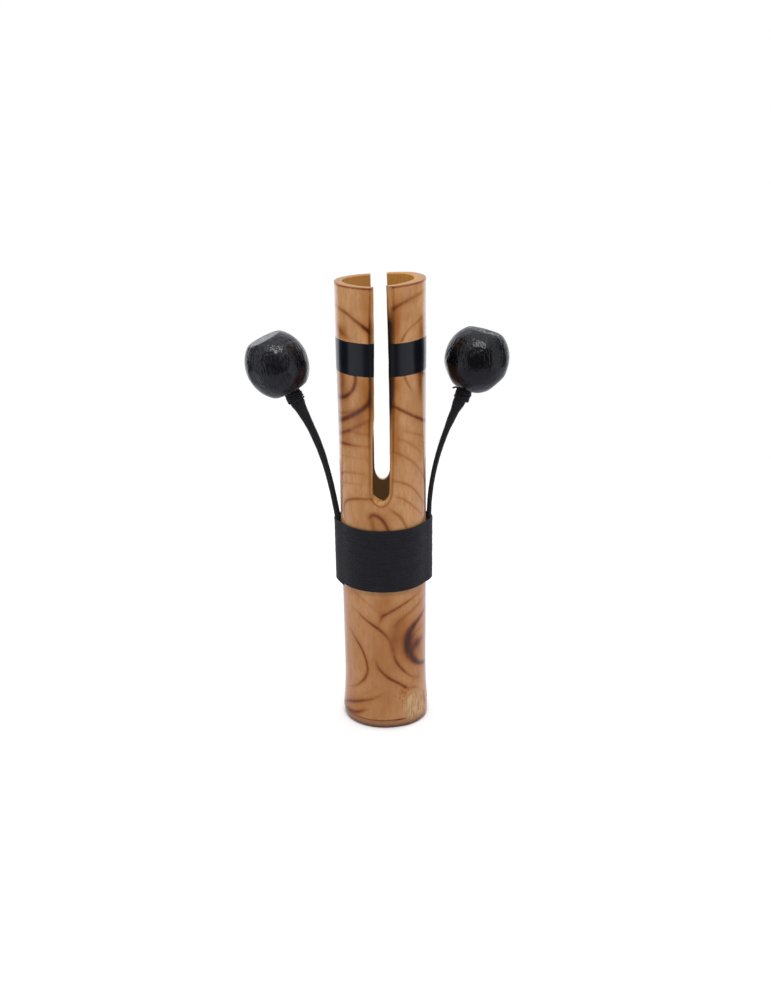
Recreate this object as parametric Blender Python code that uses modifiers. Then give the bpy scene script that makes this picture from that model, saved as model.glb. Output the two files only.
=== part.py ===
"""Bamboo clapper: a slit bamboo tube and two wooden beads on springy stems lashed to its waist.

Metres, +Z up. The origin is on the tube's axis at its foot. Seen from -Y, +X is to the right,
and both stems lie in the plane y = 0.
"""
import math

import bmesh
import bpy
from mathutils import Matrix, Vector
from mathutils.geometry import interpolate_bezier

# The space left between pieces that touch on the real object
GAP = 0.0003

# Bamboo tube: one internode, a little wider at its top, with the node at its foot
TUBE_HEIGHT = 0.2000
TUBE_RADIUS_MID = 0.01879
TUBE_TAPER = 0.0062
TUBE_WALL = 0.0037
TUBE_STEPS = 64
RIM_SLOPE = 0.027
RIM_ROUND = 0.0007
NODE_FLARE = 0.0011
NODE_RIDGE_Z = 0.0046
NODE_FLARE_TOP = 0.0250
NODE_RINGS = 4
SHEATH_LEDGE = 0.0004
FOOT_ROUND = 0.0014
DIAPHRAGM_TOP = 0.0065
BORE_CORNER = 0.0036
STRIPE_LOW = 0.1621
STRIPE_HIGH = 0.1762

# Slot through both walls: narrower at its mouth, with a round foot and pared outer edges
SLOT_MOUTH_WIDTH = 0.0054
SLOT_WIDTH = 0.0068
SLOT_FULL_WIDTH_Z = 0.1400
SLOT_FOOT_Z = 0.1074
SLOT_ARC_STEPS = 10
PARING_WIDTH = 0.0020
PARING_DEPTH = 0.0013

# Waist binding: one thread wound over the tube and the tails of the stems
BINDING_LOW = 0.0664
BINDING_HIGH = 0.0947
BINDING_TURNS = 22
BINDING_TURN_POINTS = 24
BINDING_THREAD = 0.00075
TAIL_SPREAD = math.radians(30.0)
TAIL_SWELL = 0.0017

# Stems: an oval splint of cane, close-wrapped in thread
TAIL_LOW_Z = 0.0690
STEM_LEAVES_Z = 0.0947
STEM_FOOT_X = 0.0201
STEM_POINTS = 13
TAIL_POINTS = 4
CORE_WIDTH = 0.0028
CORE_SIDES = 10
WHIPPING_SIDES = 12
WHIPPING_LAYER = 0.00035
BORE_INSERT = 0.0080

# Necks: coarse turns of thread over the cone under each bead
NECK_THREAD = 0.00065
NECK_PITCH = 0.00110
NECK_TURNS = 6
NECK_TURN_POINTS = 10
NECK_CONE = 0.0200
NECK_CONE_HOLLOW = 1.5

# Beads: turned oval balls with a flat at each end of the bore's axis
BEAD_EDGE_ROUND = 0.0005
BEAD_BORE_RADIUS = 0.0022
BEAD_BORE_DEPTH = 0.0090
BEAD_STEPS = 36
BEAD_ARC_STEPS = 9

# What differs between the two sides. A bead's radius is measured across its bore and its half length
# along it; its flats are given by their distances from its centre. A facet is a flat left by the knife
# on a bead: its direction in the bead's own axes and its distance from the bead's centre.
SIDES = {
    "left": {
        "sign": -1.0,
        "bead_centre": (0.0443, 0.1638),
        "bead_radius": 0.0134,
        "bead_half_length": 0.01526,
        "top_flat": 0.0126,
        "low_flat": 0.0122,
        "tilt": math.radians(26.0),
        "lean": math.radians(8.5),
        "foot_handle": 0.0332,
        "bead_handle": 0.0201,
        "core_thickness": 0.0012,
        "neck_radius": 0.0038,
        "pivot": (0.0234, 0.1130),
        "facets": [((-0.707, -0.707, 0.012), 0.01275)],
    },
    "right": {
        "sign": 1.0,
        "bead_centre": (0.0407, 0.1650),
        "bead_radius": 0.01385,
        "bead_half_length": 0.0149,
        "top_flat": 0.0121,
        "low_flat": 0.0134,
        "tilt": math.radians(21.0),
        "lean": math.radians(0.5),
        "foot_handle": 0.0293,
        "bead_handle": 0.0086,
        "core_thickness": 0.0010,
        "neck_radius": 0.0034,
        "pivot": (0.0220, 0.1130),
        "facets": [((0.863, -0.247, -0.440), 0.0132), ((-0.750, -0.117, -0.652), 0.0137)],
    },
}

# Finishes: colour, roughness and metallic value
BAMBOO = ((0.46, 0.24, 0.10), 0.30, 0.0)
STRIPE_PAINT = ((0.010, 0.010, 0.011), 0.18, 0.0)
THREAD = ((0.016, 0.016, 0.018), 0.85, 0.0)
CANE = ((0.42, 0.27, 0.13), 0.60, 0.0)
BEAD_LACQUER = ((0.014, 0.013, 0.013), 0.28, 0.0)

SMOOTH_ANGLE = math.radians(40.0)


def tube_radius(z):
    """Outer radius of the bamboo at a height, away from the node at its foot."""
    return TUBE_RADIUS_MID + TUBE_TAPER * (z - TUBE_HEIGHT / 2)


def make_collection(name):
    collection = bpy.data.collections.new(name)
    bpy.context.scene.collection.children.link(collection)
    return collection


def principled(name, finish):
    colour, roughness, metallic = finish
    material = bpy.data.materials.new(name)
    material.use_nodes = True
    shader = material.node_tree.nodes["Principled BSDF"]
    shader.inputs["Base Color"].default_value = (*colour, 1.0)
    shader.inputs["Roughness"].default_value = roughness
    shader.inputs["Metallic"].default_value = metallic
    return material


def add_object(name, data, collection):
    piece = bpy.data.objects.new(name, data)
    collection.objects.link(piece)
    return piece


def finish_mesh(piece, finish):
    """Give a mesh piece its own material and smooth shading with its real edges kept sharp."""
    piece.data.materials.append(principled(piece.name + "_finish", finish))
    piece.data.shade_smooth()
    piece.data.set_sharp_from_angle(angle=SMOOTH_ANGLE)


def baked_mesh(piece):
    """The mesh that an object's modifiers or curve settings give, with its seams welded."""
    bpy.context.view_layer.update()
    graph = bpy.context.evaluated_depsgraph_get()
    mesh = bpy.data.meshes.new_from_object(piece.evaluated_get(graph))
    work = bmesh.new()
    work.from_mesh(mesh)
    bmesh.ops.remove_doubles(work, verts=work.verts, dist=0.000001)
    work.to_mesh(mesh)
    work.free()
    return mesh


def turned(name, profile, steps, collection):
    """A solid turned about Z from (radius, height) points that run down its outer side."""
    mesh = bpy.data.meshes.new(name)
    points = [(radius, 0.0, height) for radius, height in profile]
    edges = [(index, index + 1) for index in range(len(points) - 1)]
    mesh.from_pydata(points, edges, [])
    blank = add_object(name, mesh, collection)
    screw = blank.modifiers.new("turning", "SCREW")
    screw.steps = steps
    screw.render_steps = steps
    screw.use_merge_vertices = True
    screw.merge_threshold = 0.00001
    blank.data = baked_mesh(blank)
    blank.modifiers.clear()
    bpy.data.meshes.remove(mesh)
    return blank


def arc(centre, radius, start, end, steps):
    """Points on an arc in (radius, height), from one angle to another measured from +radius."""
    angles = [start + (end - start) * index / steps for index in range(steps + 1)]
    return [(centre[0] + radius * math.cos(a), centre[1] + radius * math.sin(a)) for a in angles]


def lofted(name, rings, collection, wrap=False):
    """A solid skinned over rings of equally many points: capped, or wrapped round to the first ring."""
    work = bmesh.new()
    loops = [[work.verts.new(point) for point in ring] for ring in rings]
    pairs = list(zip(loops, loops[1:]))
    if wrap:
        pairs.append((loops[-1], loops[0]))
    for near, far in pairs:
        for index in range(len(near)):
            after = (index + 1) % len(near)
            work.faces.new((near[index], near[after], far[after], far[index]))
    if not wrap:
        work.faces.new(loops[0])
        work.faces.new(loops[-1])
    bmesh.ops.recalc_face_normals(work, faces=work.faces)
    mesh = bpy.data.meshes.new(name)
    work.to_mesh(mesh)
    work.free()
    return add_object(name, mesh, collection)


def wound(name, points, thread, turn_points, finish, collection):
    """One unbroken thread along points, with its least gap to itself measured and printed."""
    curve = bpy.data.curves.new(name, "CURVE")
    curve.dimensions = "3D"
    curve.bevel_depth = thread / 2
    curve.bevel_resolution = 1
    curve.use_fill_caps = True
    spline = curve.splines.new("POLY")
    spline.points.add(len(points) - 1)
    for slot, point in zip(spline.points, points):
        slot.co = (*point, 1.0)
    path = add_object(name + "_path", curve, collection)
    mesh = baked_mesh(path)
    bpy.data.objects.remove(path)
    mesh.name = name
    piece = add_object(name, mesh, collection)
    finish_mesh(piece, finish)
    apart = turn_points // 2
    pairs = ((a, b) for a in range(len(points)) for b in range(a + apart, len(points)))
    least = min((points[a] - points[b]).length for a, b in pairs) - thread
    print(f"{name}: least gap between turns {least * 1000:.2f} mm")
    return piece


def straight_ends(points, length):
    """Lengthen a path at both ends along its own direction."""
    first = points[0] + (points[0] - points[1]).normalized() * length
    last = points[-1] + (points[-1] - points[-2]).normalized() * length
    return [first, *points, last]


def tube_profile():
    """The tube's section, from the middle of the diaphragm up the bore, over the rim and down to the foot."""
    quarter = math.pi / 2
    top = tube_radius(TUBE_HEIGHT)
    bore_top = top - TUBE_WALL
    bore_foot = tube_radius(NODE_FLARE_TOP) - TUBE_WALL
    corner = (bore_foot - BORE_CORNER, DIAPHRAGM_TOP + BORE_CORNER)
    inside = [
        (0.0, DIAPHRAGM_TOP),
        *arc(corner, BORE_CORNER, -quarter, 0.0, 3),
        (bore_top, TUBE_HEIGHT - RIM_ROUND / 2),
        (bore_top + RIM_ROUND / 2, TUBE_HEIGHT),
    ]
    rim = arc((top - RIM_ROUND, TUBE_HEIGHT - RIM_ROUND), RIM_ROUND, quarter, 0.0, 2)
    wall = [(tube_radius(z), z) for z in (STRIPE_HIGH, STRIPE_LOW)]
    node = []
    for index in range(NODE_RINGS + 1):
        share = index / NODE_RINGS
        z = NODE_FLARE_TOP + (NODE_RIDGE_Z - NODE_FLARE_TOP) * share
        node.append((tube_radius(z) + NODE_FLARE * share ** 2, z))
    ledge = node[-1][0] - SHEATH_LEDGE
    ledge_z = NODE_RIDGE_Z - SHEATH_LEDGE * 2
    foot = arc((ledge - FOOT_ROUND, FOOT_ROUND), FOOT_ROUND, 0.0, -quarter, 3)
    return [*inside, *rim, *wall, *node, (ledge, ledge_z), *foot, (0.0, 0.0)]


def slot_outline(paring):
    """The slot seen from the front, as (x, z) points, widened on each edge by the paring."""
    above = TUBE_HEIGHT * 1.05
    half = SLOT_WIDTH / 2
    centre = SLOT_FOOT_Z + half
    widening = (SLOT_WIDTH - SLOT_MOUTH_WIDTH) / 2 / (TUBE_HEIGHT - SLOT_FULL_WIDTH_Z)
    mouth = half - widening * (above - SLOT_FULL_WIDTH_Z)
    right = [(mouth + paring, above), (half + paring, SLOT_FULL_WIDTH_Z)]
    left = [(-x, z) for x, z in reversed(right)]
    return [*right, *arc((0.0, centre), half + paring, 0.0, -math.pi, SLOT_ARC_STEPS), *left]


def slot_cutter(collection):
    """The slot's cutter: straight between the two inner faces and flaring out past the pared edges."""
    sections = (
        (-1.0, PARING_DEPTH, PARING_WIDTH * 2),
        (-1.0, -PARING_DEPTH, 0.0),
        (1.0, -PARING_DEPTH, 0.0),
        (1.0, PARING_DEPTH, PARING_WIDTH * 2),
    )
    rings = []
    for face, reach, paring in sections:
        ring = [Vector((x, face * (tube_radius(z) + reach), z)) for x, z in slot_outline(paring)]
        rings.append(ring)
    cutter = lofted("slot_cutter", rings, collection)
    cutter.hide_render = True
    cutter.display_type = "WIRE"
    return cutter


def bamboo_tube(parts, cutters):
    """The tube, with its top sawn a little out of square, its painted stripe and its slot."""
    tube = turned("bamboo_tube", tube_profile(), TUBE_STEPS, parts)
    for vertex in tube.data.vertices:
        vertex.co.z += RIM_SLOPE * vertex.co.x * vertex.co.z / TUBE_HEIGHT
    finish_mesh(tube, BAMBOO)
    tube.data.materials.append(principled("bamboo_tube_stripe", STRIPE_PAINT))
    stripe_middle = (STRIPE_LOW + STRIPE_HIGH) / 2
    for face in tube.data.polygons:
        reach = math.hypot(face.center.x, face.center.y)
        outside = reach > tube_radius(face.center.z) - TUBE_WALL / 2
        if outside and abs(face.center.z - stripe_middle) < (STRIPE_HIGH - STRIPE_LOW) / 4:
            face.material_index = 1
    slot = tube.modifiers.new("slot", "BOOLEAN")
    slot.object = slot_cutter(cutters)


def waist_binding(parts):
    """The lashing: level turns round the tube that swell at both sides over the tails of the stems."""
    turn = BINDING_TURN_POINTS
    half_step = math.pi / turn
    height = BINDING_HIGH - BINDING_LOW - BINDING_THREAD
    points = []
    for index in range(BINDING_TURNS * turn + 1):
        angle = math.tau * index / turn - math.pi / 2
        z = BINDING_LOW + BINDING_THREAD / 2 + height * index / (BINDING_TURNS * turn)
        off_side = math.asin(min(1.0, abs(math.sin(angle))))
        swell = math.cos(off_side / TAIL_SPREAD * math.pi / 2) ** 2 if off_side < TAIL_SPREAD else 0.0
        clear = (tube_radius(z) + GAP + BINDING_THREAD / 2) / math.cos(half_step)
        reach = clear + TAIL_SWELL * swell
        points.append(Vector((reach * math.cos(angle), reach * math.sin(angle), z)))
    points = straight_ends(points, BINDING_THREAD)
    wound("waist_binding", points, BINDING_THREAD, turn, THREAD, parts)


def bead_axis(side):
    """Direction of a bead's bore, from its lower flat to its top flat."""
    return Vector((side["sign"] * math.sin(side["tilt"]), 0.0, math.cos(side["tilt"])))


def bead_centre(side):
    x, z = side["bead_centre"]
    return Vector((side["sign"] * x, 0.0, z))


def neck_place(side):
    """Where a stem meets the lower flat of its bead."""
    return bead_centre(side) - bead_axis(side) * side["low_flat"]


def stem_route(side):
    """A stem's free part, from the waist binding to the bead's lower flat: points along one smooth curve."""
    axis = bead_axis(side)
    foot = Vector((side["sign"] * STEM_FOOT_X, 0.0, STEM_LEAVES_Z))
    lean = Vector((side["sign"] * math.sin(side["lean"]), 0.0, math.cos(side["lean"])))
    neck = neck_place(side)
    handles = (foot, foot + lean * side["foot_handle"], neck - axis * side["bead_handle"], neck)
    return interpolate_bezier(*handles, STEM_POINTS)


def directions(points):
    """The direction of a path at each of its points."""
    steps = [(b - a).normalized() for a, b in zip(points, points[1:])]
    inner = [(a + b).normalized() for a, b in zip(steps, steps[1:])]
    return [steps[0], *inner, steps[-1]]


def oval_ring(centre, direction, across, wide, sides):
    """An oval round a path's point: across in the plane of the stems, wide at right angles to it."""
    out = Vector((direction.z, 0.0, -direction.x))
    ring = []
    for index in range(sides):
        angle = math.tau * index / sides
        offset = out * (across / 2 * math.cos(angle)) + Vector((0.0, wide / 2 * math.sin(angle), 0.0))
        ring.append(centre + offset)
    return ring


def stem_core(name, side, parts):
    """The cane splint: its tail flat on the tube, its free part, and its end in the bead's bore."""
    thickness = side["core_thickness"]
    tail_x = side["sign"] * (tube_radius(TAIL_LOW_Z) + GAP + thickness / 2)
    route = stem_route(side)
    tail_step = (STEM_LEAVES_Z - TAIL_LOW_Z) / TAIL_POINTS
    tail = [Vector((tail_x, 0.0, TAIL_LOW_Z + tail_step * index)) for index in range(TAIL_POINTS)]
    end = route[-1] + bead_axis(side) * BORE_INSERT
    path = [*tail, *route, end]
    rings = [
        oval_ring(point, direction, thickness, CORE_WIDTH, CORE_SIDES)
        for point, direction in zip(path, directions(path))
    ]
    finish_mesh(lofted(name, rings, parts), CANE)


def whipping_size(side, to_neck):
    """Width of the whipped stem both ways, swelling to a cone over the last stretch under the bead."""
    across = side["core_thickness"] + 2 * (GAP + WHIPPING_LAYER)
    wide = CORE_WIDTH + 2 * (GAP + WHIPPING_LAYER)
    top = 2 * (side["neck_radius"] - NECK_THREAD - GAP)
    swell = max(0.0, 1.0 - to_neck / NECK_CONE) ** NECK_CONE_HOLLOW
    return across + (top - across) * swell, wide + (max(top, wide) - wide) * swell


def stem_whipping(name, side, parts):
    """The close-wrapped thread, a sleeve round the splint from the waist binding to the bead."""
    route = stem_route(side)
    lean = directions(route)
    route[0] = route[0] + lean[0] * (GAP * 2)
    route[-1] = route[-1] - lean[-1] * GAP
    core = (side["core_thickness"] + 2 * GAP, CORE_WIDTH + 2 * GAP)
    outer = []
    inner = []
    for point, direction in zip(route, lean):
        size = whipping_size(side, (route[-1] - point).length)
        outer.append(oval_ring(point, direction, *size, WHIPPING_SIDES))
        inner.append(oval_ring(point, direction, *core, WHIPPING_SIDES))
    finish_mesh(lofted(name, [*outer, *reversed(inner)], parts, wrap=True), THREAD)


def neck_whipping(name, side, parts):
    """The coarse turns under the bead, wound down its neck from the lower flat."""
    axis = bead_axis(side)
    out = Vector((axis.z, 0.0, -axis.x))
    neck = neck_place(side)
    radius = side["neck_radius"] - NECK_THREAD / 2
    points = []
    for index in range(NECK_TURNS * NECK_TURN_POINTS + 1):
        angle = math.tau * index / NECK_TURN_POINTS
        down = GAP + NECK_THREAD / 2 + NECK_PITCH * index / NECK_TURN_POINTS
        offset = out * (radius * math.cos(angle)) + Vector((0.0, radius * math.sin(angle), 0.0))
        points.append(neck - axis * down + offset)
    points = straight_ends(points, NECK_THREAD)
    return wound(name, points, NECK_THREAD, NECK_TURN_POINTS, THREAD, parts)


def bead_profile(side):
    """A bead's section about its bore: top flat, oval ball, lower flat and the blind bore."""
    radius = side["bead_radius"]
    half_length = side["bead_half_length"]
    top_angle = math.asin(side["top_flat"] / half_length)
    low_angle = -math.asin(side["low_flat"] / half_length)
    round_ball = arc((0.0, 0.0), 1.0, top_angle, low_angle, BEAD_ARC_STEPS)
    ball = [(radius * across, half_length * up) for across, up in round_ball]
    edge, top = ball[0]
    low = ball[-1][1]
    bore_end = low + BEAD_BORE_DEPTH
    flat_edge = (edge - BEAD_EDGE_ROUND, top)
    shoulder = (edge + BEAD_EDGE_ROUND / 2, top - BEAD_EDGE_ROUND / 2)
    bore = [(BEAD_BORE_RADIUS, low), (BEAD_BORE_RADIUS, bore_end), (0.0, bore_end)]
    return [(0.0, top), flat_edge, shoulder, *ball[1:], *bore]


def bead(name, side, parts):
    """A turned ball with the flats that a knife left on it, set on the stem's end."""
    piece = turned(name, bead_profile(side), BEAD_STEPS, parts)
    work = bmesh.new()
    work.from_mesh(piece.data)
    for direction, distance in side["facets"]:
        facet = Vector(direction).normalized()
        everything = [*work.verts, *work.edges, *work.faces]
        cut = bmesh.ops.bisect_plane(
            work, geom=everything, plane_co=facet * distance, plane_no=facet, clear_outer=True
        )
        rim = [item for item in cut["geom_cut"] if isinstance(item, bmesh.types.BMEdge)]
        bmesh.ops.holes_fill(work, edges=rim)
    bmesh.ops.recalc_face_normals(work, faces=work.faces)
    work.to_mesh(piece.data)
    work.free()
    finish_mesh(piece, BEAD_LACQUER)
    tilt = Matrix.Rotation(side["sign"] * side["tilt"], 4, "Y")
    piece.matrix_world = Matrix.Translation(bead_centre(side)) @ tilt
    return piece


def striker(label, side, parts):
    """One side's stem and bead. What swings hangs from an empty on the axis that the stem bends about."""
    stem_core(label + "_stem_core", side, parts)
    stem_whipping(label + "_stem_whipping", side, parts)
    swinging = [
        neck_whipping(label + "_neck_whipping", side, parts),
        bead(label + "_bead", side, parts),
    ]
    flex = add_object(label + "_stem_flex", None, parts)
    flex.location = (side["sign"] * side["pivot"][0], 0.0, side["pivot"][1])
    bpy.context.view_layer.update()
    for piece in swinging:
        piece.parent = flex
        piece.matrix_parent_inverse = flex.matrix_world.inverted()


for leftover in list(bpy.data.objects):
    bpy.data.objects.remove(leftover)
clapper = make_collection("bamboo_clapper")
cutter_shapes = make_collection("cutters")
bamboo_tube(clapper, cutter_shapes)
waist_binding(clapper)
for side_name, side_sizes in SIDES.items():
    striker(side_name, side_sizes, clapper)
bpy.context.view_layer.update()
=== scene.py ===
import math

import bmesh
import bpy
import numpy as np
from mathutils import Matrix, Vector, noise
from mathutils.geometry import interpolate_bezier


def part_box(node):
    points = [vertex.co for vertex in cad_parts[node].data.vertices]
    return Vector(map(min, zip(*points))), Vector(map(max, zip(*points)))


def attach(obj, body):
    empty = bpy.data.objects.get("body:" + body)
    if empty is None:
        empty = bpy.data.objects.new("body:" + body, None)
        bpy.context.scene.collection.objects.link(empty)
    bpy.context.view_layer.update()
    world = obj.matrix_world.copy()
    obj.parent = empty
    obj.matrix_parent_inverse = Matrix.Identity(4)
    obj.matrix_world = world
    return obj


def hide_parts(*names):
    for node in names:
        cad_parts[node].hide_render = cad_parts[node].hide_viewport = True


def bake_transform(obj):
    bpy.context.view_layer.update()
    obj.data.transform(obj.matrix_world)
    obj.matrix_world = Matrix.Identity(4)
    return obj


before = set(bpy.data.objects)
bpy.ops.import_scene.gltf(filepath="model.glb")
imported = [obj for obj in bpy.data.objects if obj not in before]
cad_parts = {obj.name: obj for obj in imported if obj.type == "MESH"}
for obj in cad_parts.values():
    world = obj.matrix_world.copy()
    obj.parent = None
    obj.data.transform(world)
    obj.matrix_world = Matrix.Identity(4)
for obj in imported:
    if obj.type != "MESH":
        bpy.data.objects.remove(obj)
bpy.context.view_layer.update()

# Bamboo tube, the body: one internode of bamboo, sawn off a little out of square above and just under
# the node that closes its foot. Its skin carries a low node ridge, the torn edge of the old leaf sheath
# and the scar of a bud. All sizes are in metres, most of them written as millimetres.
MM = 0.001
TUBE_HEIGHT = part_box("bamboo_tube")[1][2] - 0.5 * MM
TUBE_RADIUS_MID = 18.79 * MM
TUBE_TAPER = 0.0062
TUBE_WALL = 3.6 * MM
THICK_SIDE = 1.5 * MM
TUBE_COLUMNS = 320
TUBE_ROW = 0.45 * MM
FOOT_ROW = 0.20 * MM
FOOT_ROWS_TOP = 7.0 * MM
BORE_ROWS = 30
RIM_ROWS = 7
RIM_ROUND_STEPS = 4
CORNER_STEPS = 5
RIM_SLOPE = 0.027
RIM_ROUND = 0.7 * MM
RIM_DIPS = [(0, 0.0), (45, 0.15), (80, 0.8), (100, 0.95), (140, 0.55), (180, 0.0), (225, 0.25),
            (260, 0.65), (280, 0.3), (315, 0.1)]
RIM_DIP_REACH = 14.0 * MM
NODE_FLARE = 1.1 * MM
NODE_RIDGE_Z = 4.6 * MM
NODE_FLARE_TOP = 25.0 * MM
SHEATH_LEDGE = 0.40 * MM
SHEATH_LEDGE_Z = 4.0 * MM
SHEATH_SLOPE = (-0.35 * MM, 0.05 * MM)
SHEATH_RAGGED = 0.35 * MM
SHEATH_WAVES = 9.0 * MM
SHEATH_FRAYS = 2.0 * MM
SHEATH_GAP_PLACE = 17.0 * MM
SHEATH_GAP_ENDS = (5.0 * MM, 11.0 * MM)
FOOT_ROUND = 1.4 * MM
DIAPHRAGM_TOP = 6.5 * MM
DIAPHRAGM_EYE = 2.0 * MM
BORE_CORNER = 3.6 * MM
SKIN_WANDER = 0.10 * MM
SKIN_SWELLS = 30.0 * MM
BUD_PLACE = (15.0 * MM, 8.2 * MM)
BUD_SIZE = (8.0 * MM, 8.2 * MM)
BUD_DEPTH = 0.25 * MM
BUD_WRINKLE = 0.09 * MM
BUD_WRINKLE_SIZE = 1.1 * MM
BUD_WRINKLE_STRETCH = (1.0, 1.0, 0.3)
SKIN, BARE = 0, 1
# Flakes and chips in the foot: place and size round the tube and up it, in millimetres, how far each
# stands out, and how dark it is, which in the sunken chips is painted shade in the hollow
CHIPS = [
    ((3.9, 4.9), (1.1, 0.40), 0.30, 0.0),
    ((6.0, 4.0), (1.9, 0.45), -0.55, 0.75),
    ((27.5, 5.0), (4.5, 1.4), -0.80, 0.50),
]


def wander(points, size, seed):
    """Smooth unevenness between -1 and 1 at each point, with swells about as long as the size given."""
    shift = Vector((seed * 7.3, seed * 3.1, seed * 5.7))
    return np.array([noise.noise(Vector(point) / size + shift) for point in points])


def eased(value, low, high):
    """A smooth step from 0 at the low value to 1 at the high one."""
    share = np.clip((value - low) / (high - low), 0.0, 1.0)
    return share * share * (3.0 - 2.0 * share)


def bamboo_radius(z):
    """Radius of the bamboo's skin at a height, away from the node at its foot."""
    return TUBE_RADIUS_MID + TUBE_TAPER * (z - TUBE_HEIGHT / 2)


def unrolled(points):
    """Places on the tube's skin: distance round it from the middle of its front, and height."""
    return np.arctan2(points[:, 0], -points[:, 1]) * TUBE_RADIUS_MID, points[:, 2]


def sheath_edge(points):
    """Height of the torn edge of the leaf sheath at each point, and its share of the full ledge, which
    dies away beside the bud."""
    around, _ = unrolled(points)
    ring = np.stack([points[:, 0], points[:, 1], np.zeros(len(points))], axis=1)
    ragged = 0.7 * wander(ring, SHEATH_WAVES, 1) + 0.3 * wander(ring, SHEATH_FRAYS, 8)
    beside_bud = eased(np.abs(around - SHEATH_GAP_PLACE), *SHEATH_GAP_ENDS)
    return SHEATH_LEDGE_Z + SHEATH_RAGGED * ragged, beside_bud


def bud_scar(points):
    """How far each point is inside the bud's scar: 1 in its middle, 0 outside."""
    around, z = unrolled(points)
    reach = np.hypot((around - BUD_PLACE[0]) / BUD_SIZE[0], (z - BUD_PLACE[1]) / BUD_SIZE[1])
    return 1.0 - eased(reach, 0.70, 1.0)


def dab(points, place, size):
    """A soft spot on the skin: 1 at its middle, falling off over its size round the tube and up it."""
    around, height = (value / MM for value in unrolled(points))
    return np.exp(-((around - place[0]) / size[0]) ** 2 - ((height - place[1]) / size[1]) ** 2)


def skin_relief(points):
    """How far the skin stands out from a plain cone at each point of the outer wall."""
    z = points[:, 2]
    flare = NODE_FLARE * np.clip((NODE_FLARE_TOP - z) / (NODE_FLARE_TOP - NODE_RIDGE_Z), 0, 1) ** 2
    edge, ledge = sheath_edge(points)
    below = ledge * (1.0 - eased(z - edge, *SHEATH_SLOPE))
    wrinkles = BUD_WRINKLE * wander(points * BUD_WRINKLE_STRETCH, BUD_WRINKLE_SIZE, 2)
    scar = bud_scar(points) * (wrinkles - BUD_DEPTH)
    chips = sum(rise * MM * dab(points, place, size) for place, size, rise, _ in CHIPS)
    return flare - SHEATH_LEDGE * below + scar + chips + SKIN_WANDER * wander(points, SKIN_SWELLS, 3)


def rim_dip(angle):
    """How far the hand-sawn rim dips below a plain slanting cut, at angles round the tube from its right."""
    degrees, dips = zip(*RIM_DIPS)
    return MM * np.interp(np.degrees(angle), degrees, dips, period=360.0)


def rim_shift(points):
    """How far each point of the upright tube moves up or down to follow the rim's slant and its dips."""
    near_rim = eased(points[..., 2], TUBE_HEIGHT - RIM_DIP_REACH, TUBE_HEIGHT - RIM_ROUND)
    dip = rim_dip(np.arctan2(points[..., 1], points[..., 0])) * near_rim
    return RIM_SLOPE * points[..., 0] * points[..., 2] / TUBE_HEIGHT - dip


def arc(centre, radius, start, end, steps):
    """Points (radius, height) on an arc between two angles in degrees."""
    angles = np.radians(np.linspace(start, end, steps + 1))
    return [(centre[0] + radius * math.cos(a), centre[1] + radius * math.sin(a)) for a in angles]


def skinned(name, rings):
    """A closed mesh skinned over rings of equally many points, with both ends capped."""
    rings = np.asarray(rings)
    count, around = rings.shape[:2]
    here = np.arange(count * around).reshape(count, around)
    after = np.roll(here, -1, axis=1)
    quads = np.stack([here[:-1], here[1:], after[1:], after[:-1]], axis=-1).reshape(-1, 4)
    faces = [*quads.tolist(), here[0].tolist(), here[-1][::-1].tolist()]
    mesh = bpy.data.meshes.new(name)
    mesh.from_pydata(rings.reshape(-1, 3).tolist(), [], faces)
    piece = bpy.data.objects.new(name, mesh)
    bpy.context.scene.collection.objects.link(piece)
    return piece


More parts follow.
